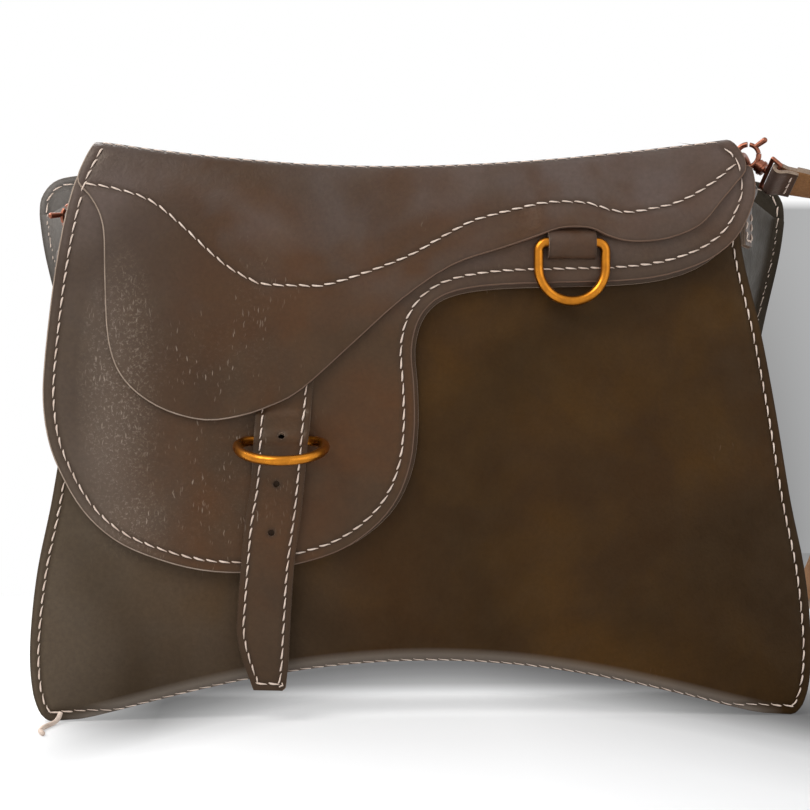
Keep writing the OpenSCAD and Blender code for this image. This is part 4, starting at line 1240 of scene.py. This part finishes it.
# Each step of that painted shadow: how far ahead it starts and ends, and how bright it is where it
# starts
FLOOR_SHADOW_STEPS = ((0.0, 0.09, 0.42), (0.03, 0.13, 0.6))
SHADOW_GREY_FROM, SHADOW_GREY_TO, WHITE = 0.42, 0.48, (1.0, 1.0, 1.0, 1.0)
floor_material, tree = new_material("pale floor")
place = place_on_piece(tree)[1]
# painted shadow: the paper is made greyer right under the bag's arched foot, lighter towards the
# camera, and greyer towards the right
aside = maths(tree, "DIVIDE", maths(tree, "SUBTRACT", place[0], ARCH_X), ARCH_HALF)
arch = product(tree, maths(tree, "SUBTRACT", 1.0, product(tree, aside, aside)), ARCH_REACH)
behind_front = maths(tree, "SUBTRACT", place[1], front_y * MM)
ahead_of_foot = maths(tree, "SUBTRACT", arch, behind_front)
under = [stretch(tree, ahead_of_foot, start, end, low, 1.0) for start, end, low in FLOOR_SHADOW_STEPS]
painted_shadow = product(tree, maths(tree, "SUBTRACT", 1.0, product(tree, *under)),
              window(tree, place[0], -0.15, -0.105, 0.15, 0.24))
painted_shadow_right = product(tree, window(tree, place[0], 0.03, 0.12, 0.15, 0.24),
                   stretch(tree, ahead_of_foot, 0.1, 0.22, 0.28, 0.13))
level = product(tree, *[maths(tree, "SUBTRACT", 1.0, share) for share in (painted_shadow, painted_shadow_right)])
# its real shadow already darkens the strip right below the bag, so the painted shadow is lightened
# there, and behind the bag more painted shadow is added
below_bag = window(tree, place[0], -0.16, -0.12, 0.12, 0.17)
for near_y, far_y, change in ((0.0, 0.02, 0.25), (0.05, 0.09, -0.42)):
    step = product(tree, stretch(tree, behind_front, near_y, far_y, 0.0, change), below_bag)
    level = product(tree, level, maths(tree, "ADD", step, 1.0))
tone = add(tree, "CombineXYZ", {0: level, 1: level, 2: level}).outputs[0]
part = add(tree, "VectorMath", {0: tone, 1: (FLOOR_SEEN,) * 3}, operation="MULTIPLY")
shadowed = add(tree, "BsdfDiffuse", {"Color": part.outputs[0]})
glow = add(tree, "Emission", {"Color": tone, "Strength": FLOOR_GLOW})
near = add(tree, "AddShader", {0: shadowed.outputs[0], 1: glow.outputs[0]})
# painted shadow: the far paper goes grey to the right of the bag
far_tone_with_shadow = tint(tree, WHITE, window(tree, place[0], 0.2, 0.24, SHADOW_GREY_FROM, SHADOW_GREY_TO), "#909090")
far = add(tree, "Emission", {"Color": far_tone_with_shadow, "Strength": 1.0})
shown = mixed(tree, stretch(tree, place[1], FADE_FROM, FADE_TO), near, far)
scattered = add(tree, "BsdfDiffuse", {"Color": (0.86, 0.86, 0.86, 1)})
surface(tree, mixed(tree, looked_at(tree), scattered, shown))

# %% Backdrop
# white paper with one soft grey area of painted shadow, which shows to the right of the bag; from
# behind nothing of it is seen, so that it hides the bag from no side
paper, tree = new_material("backdrop paper")
place = place_on_piece(tree)[1]
# painted shadow: grey that darkens towards the floor, in one area to the right of the bag
grey = mix_colour(tree, stretch(tree, place[2], 0.02, 0.25), linear("#858585"), linear("#aaaaaa"))
grey = tint(tree, grey, stretch(tree, place[0], 0.33, 0.37, 0.0, 0.5), "#b8b9ba")
share = product(tree, window(tree, place[0], 0.26, 0.3, SHADOW_GREY_FROM, SHADOW_GREY_TO),
                stretch(tree, place[2], 0.284, 0.292, 1.0, 0.0))
white = add(tree, "Emission", {"Color": mix_colour(tree, share, WHITE, grey), "Strength": 1.0})
dull = add(tree, "BsdfDiffuse", {"Color": (0.8, 0.8, 0.8, 1)})
from_behind = add(tree, "NewGeometry").outputs["Backfacing"]
clear = add(tree, "BsdfTransparent")
surface(tree, mixed(tree, from_behind, mixed(tree, looked_at(tree), dull, white), clear))


def stage_sheet(name, corners, material):
    mesh = bpy.data.meshes.new(name)
    mesh.from_pydata(corners, [], [[0, 1, 2, 3]])
    mesh.materials.append(material)
    sheet = bpy.data.objects.new(name, mesh)
    bpy.context.collection.objects.link(sheet)


stage_sheet("floor", [(-3, -3, 0), (3, -3, 0), (3, WALL_Y, 0), (-3, WALL_Y, 0)], floor_material)
stage_sheet("backdrop", [(-3, WALL_Y, 0), (3, WALL_Y, 0), (3, WALL_Y, 2), (-3, WALL_Y, 2)], paper)
scene.view_settings.view_transform = "Standard"
print("camera", [round(v, 3) for v in camera.location])
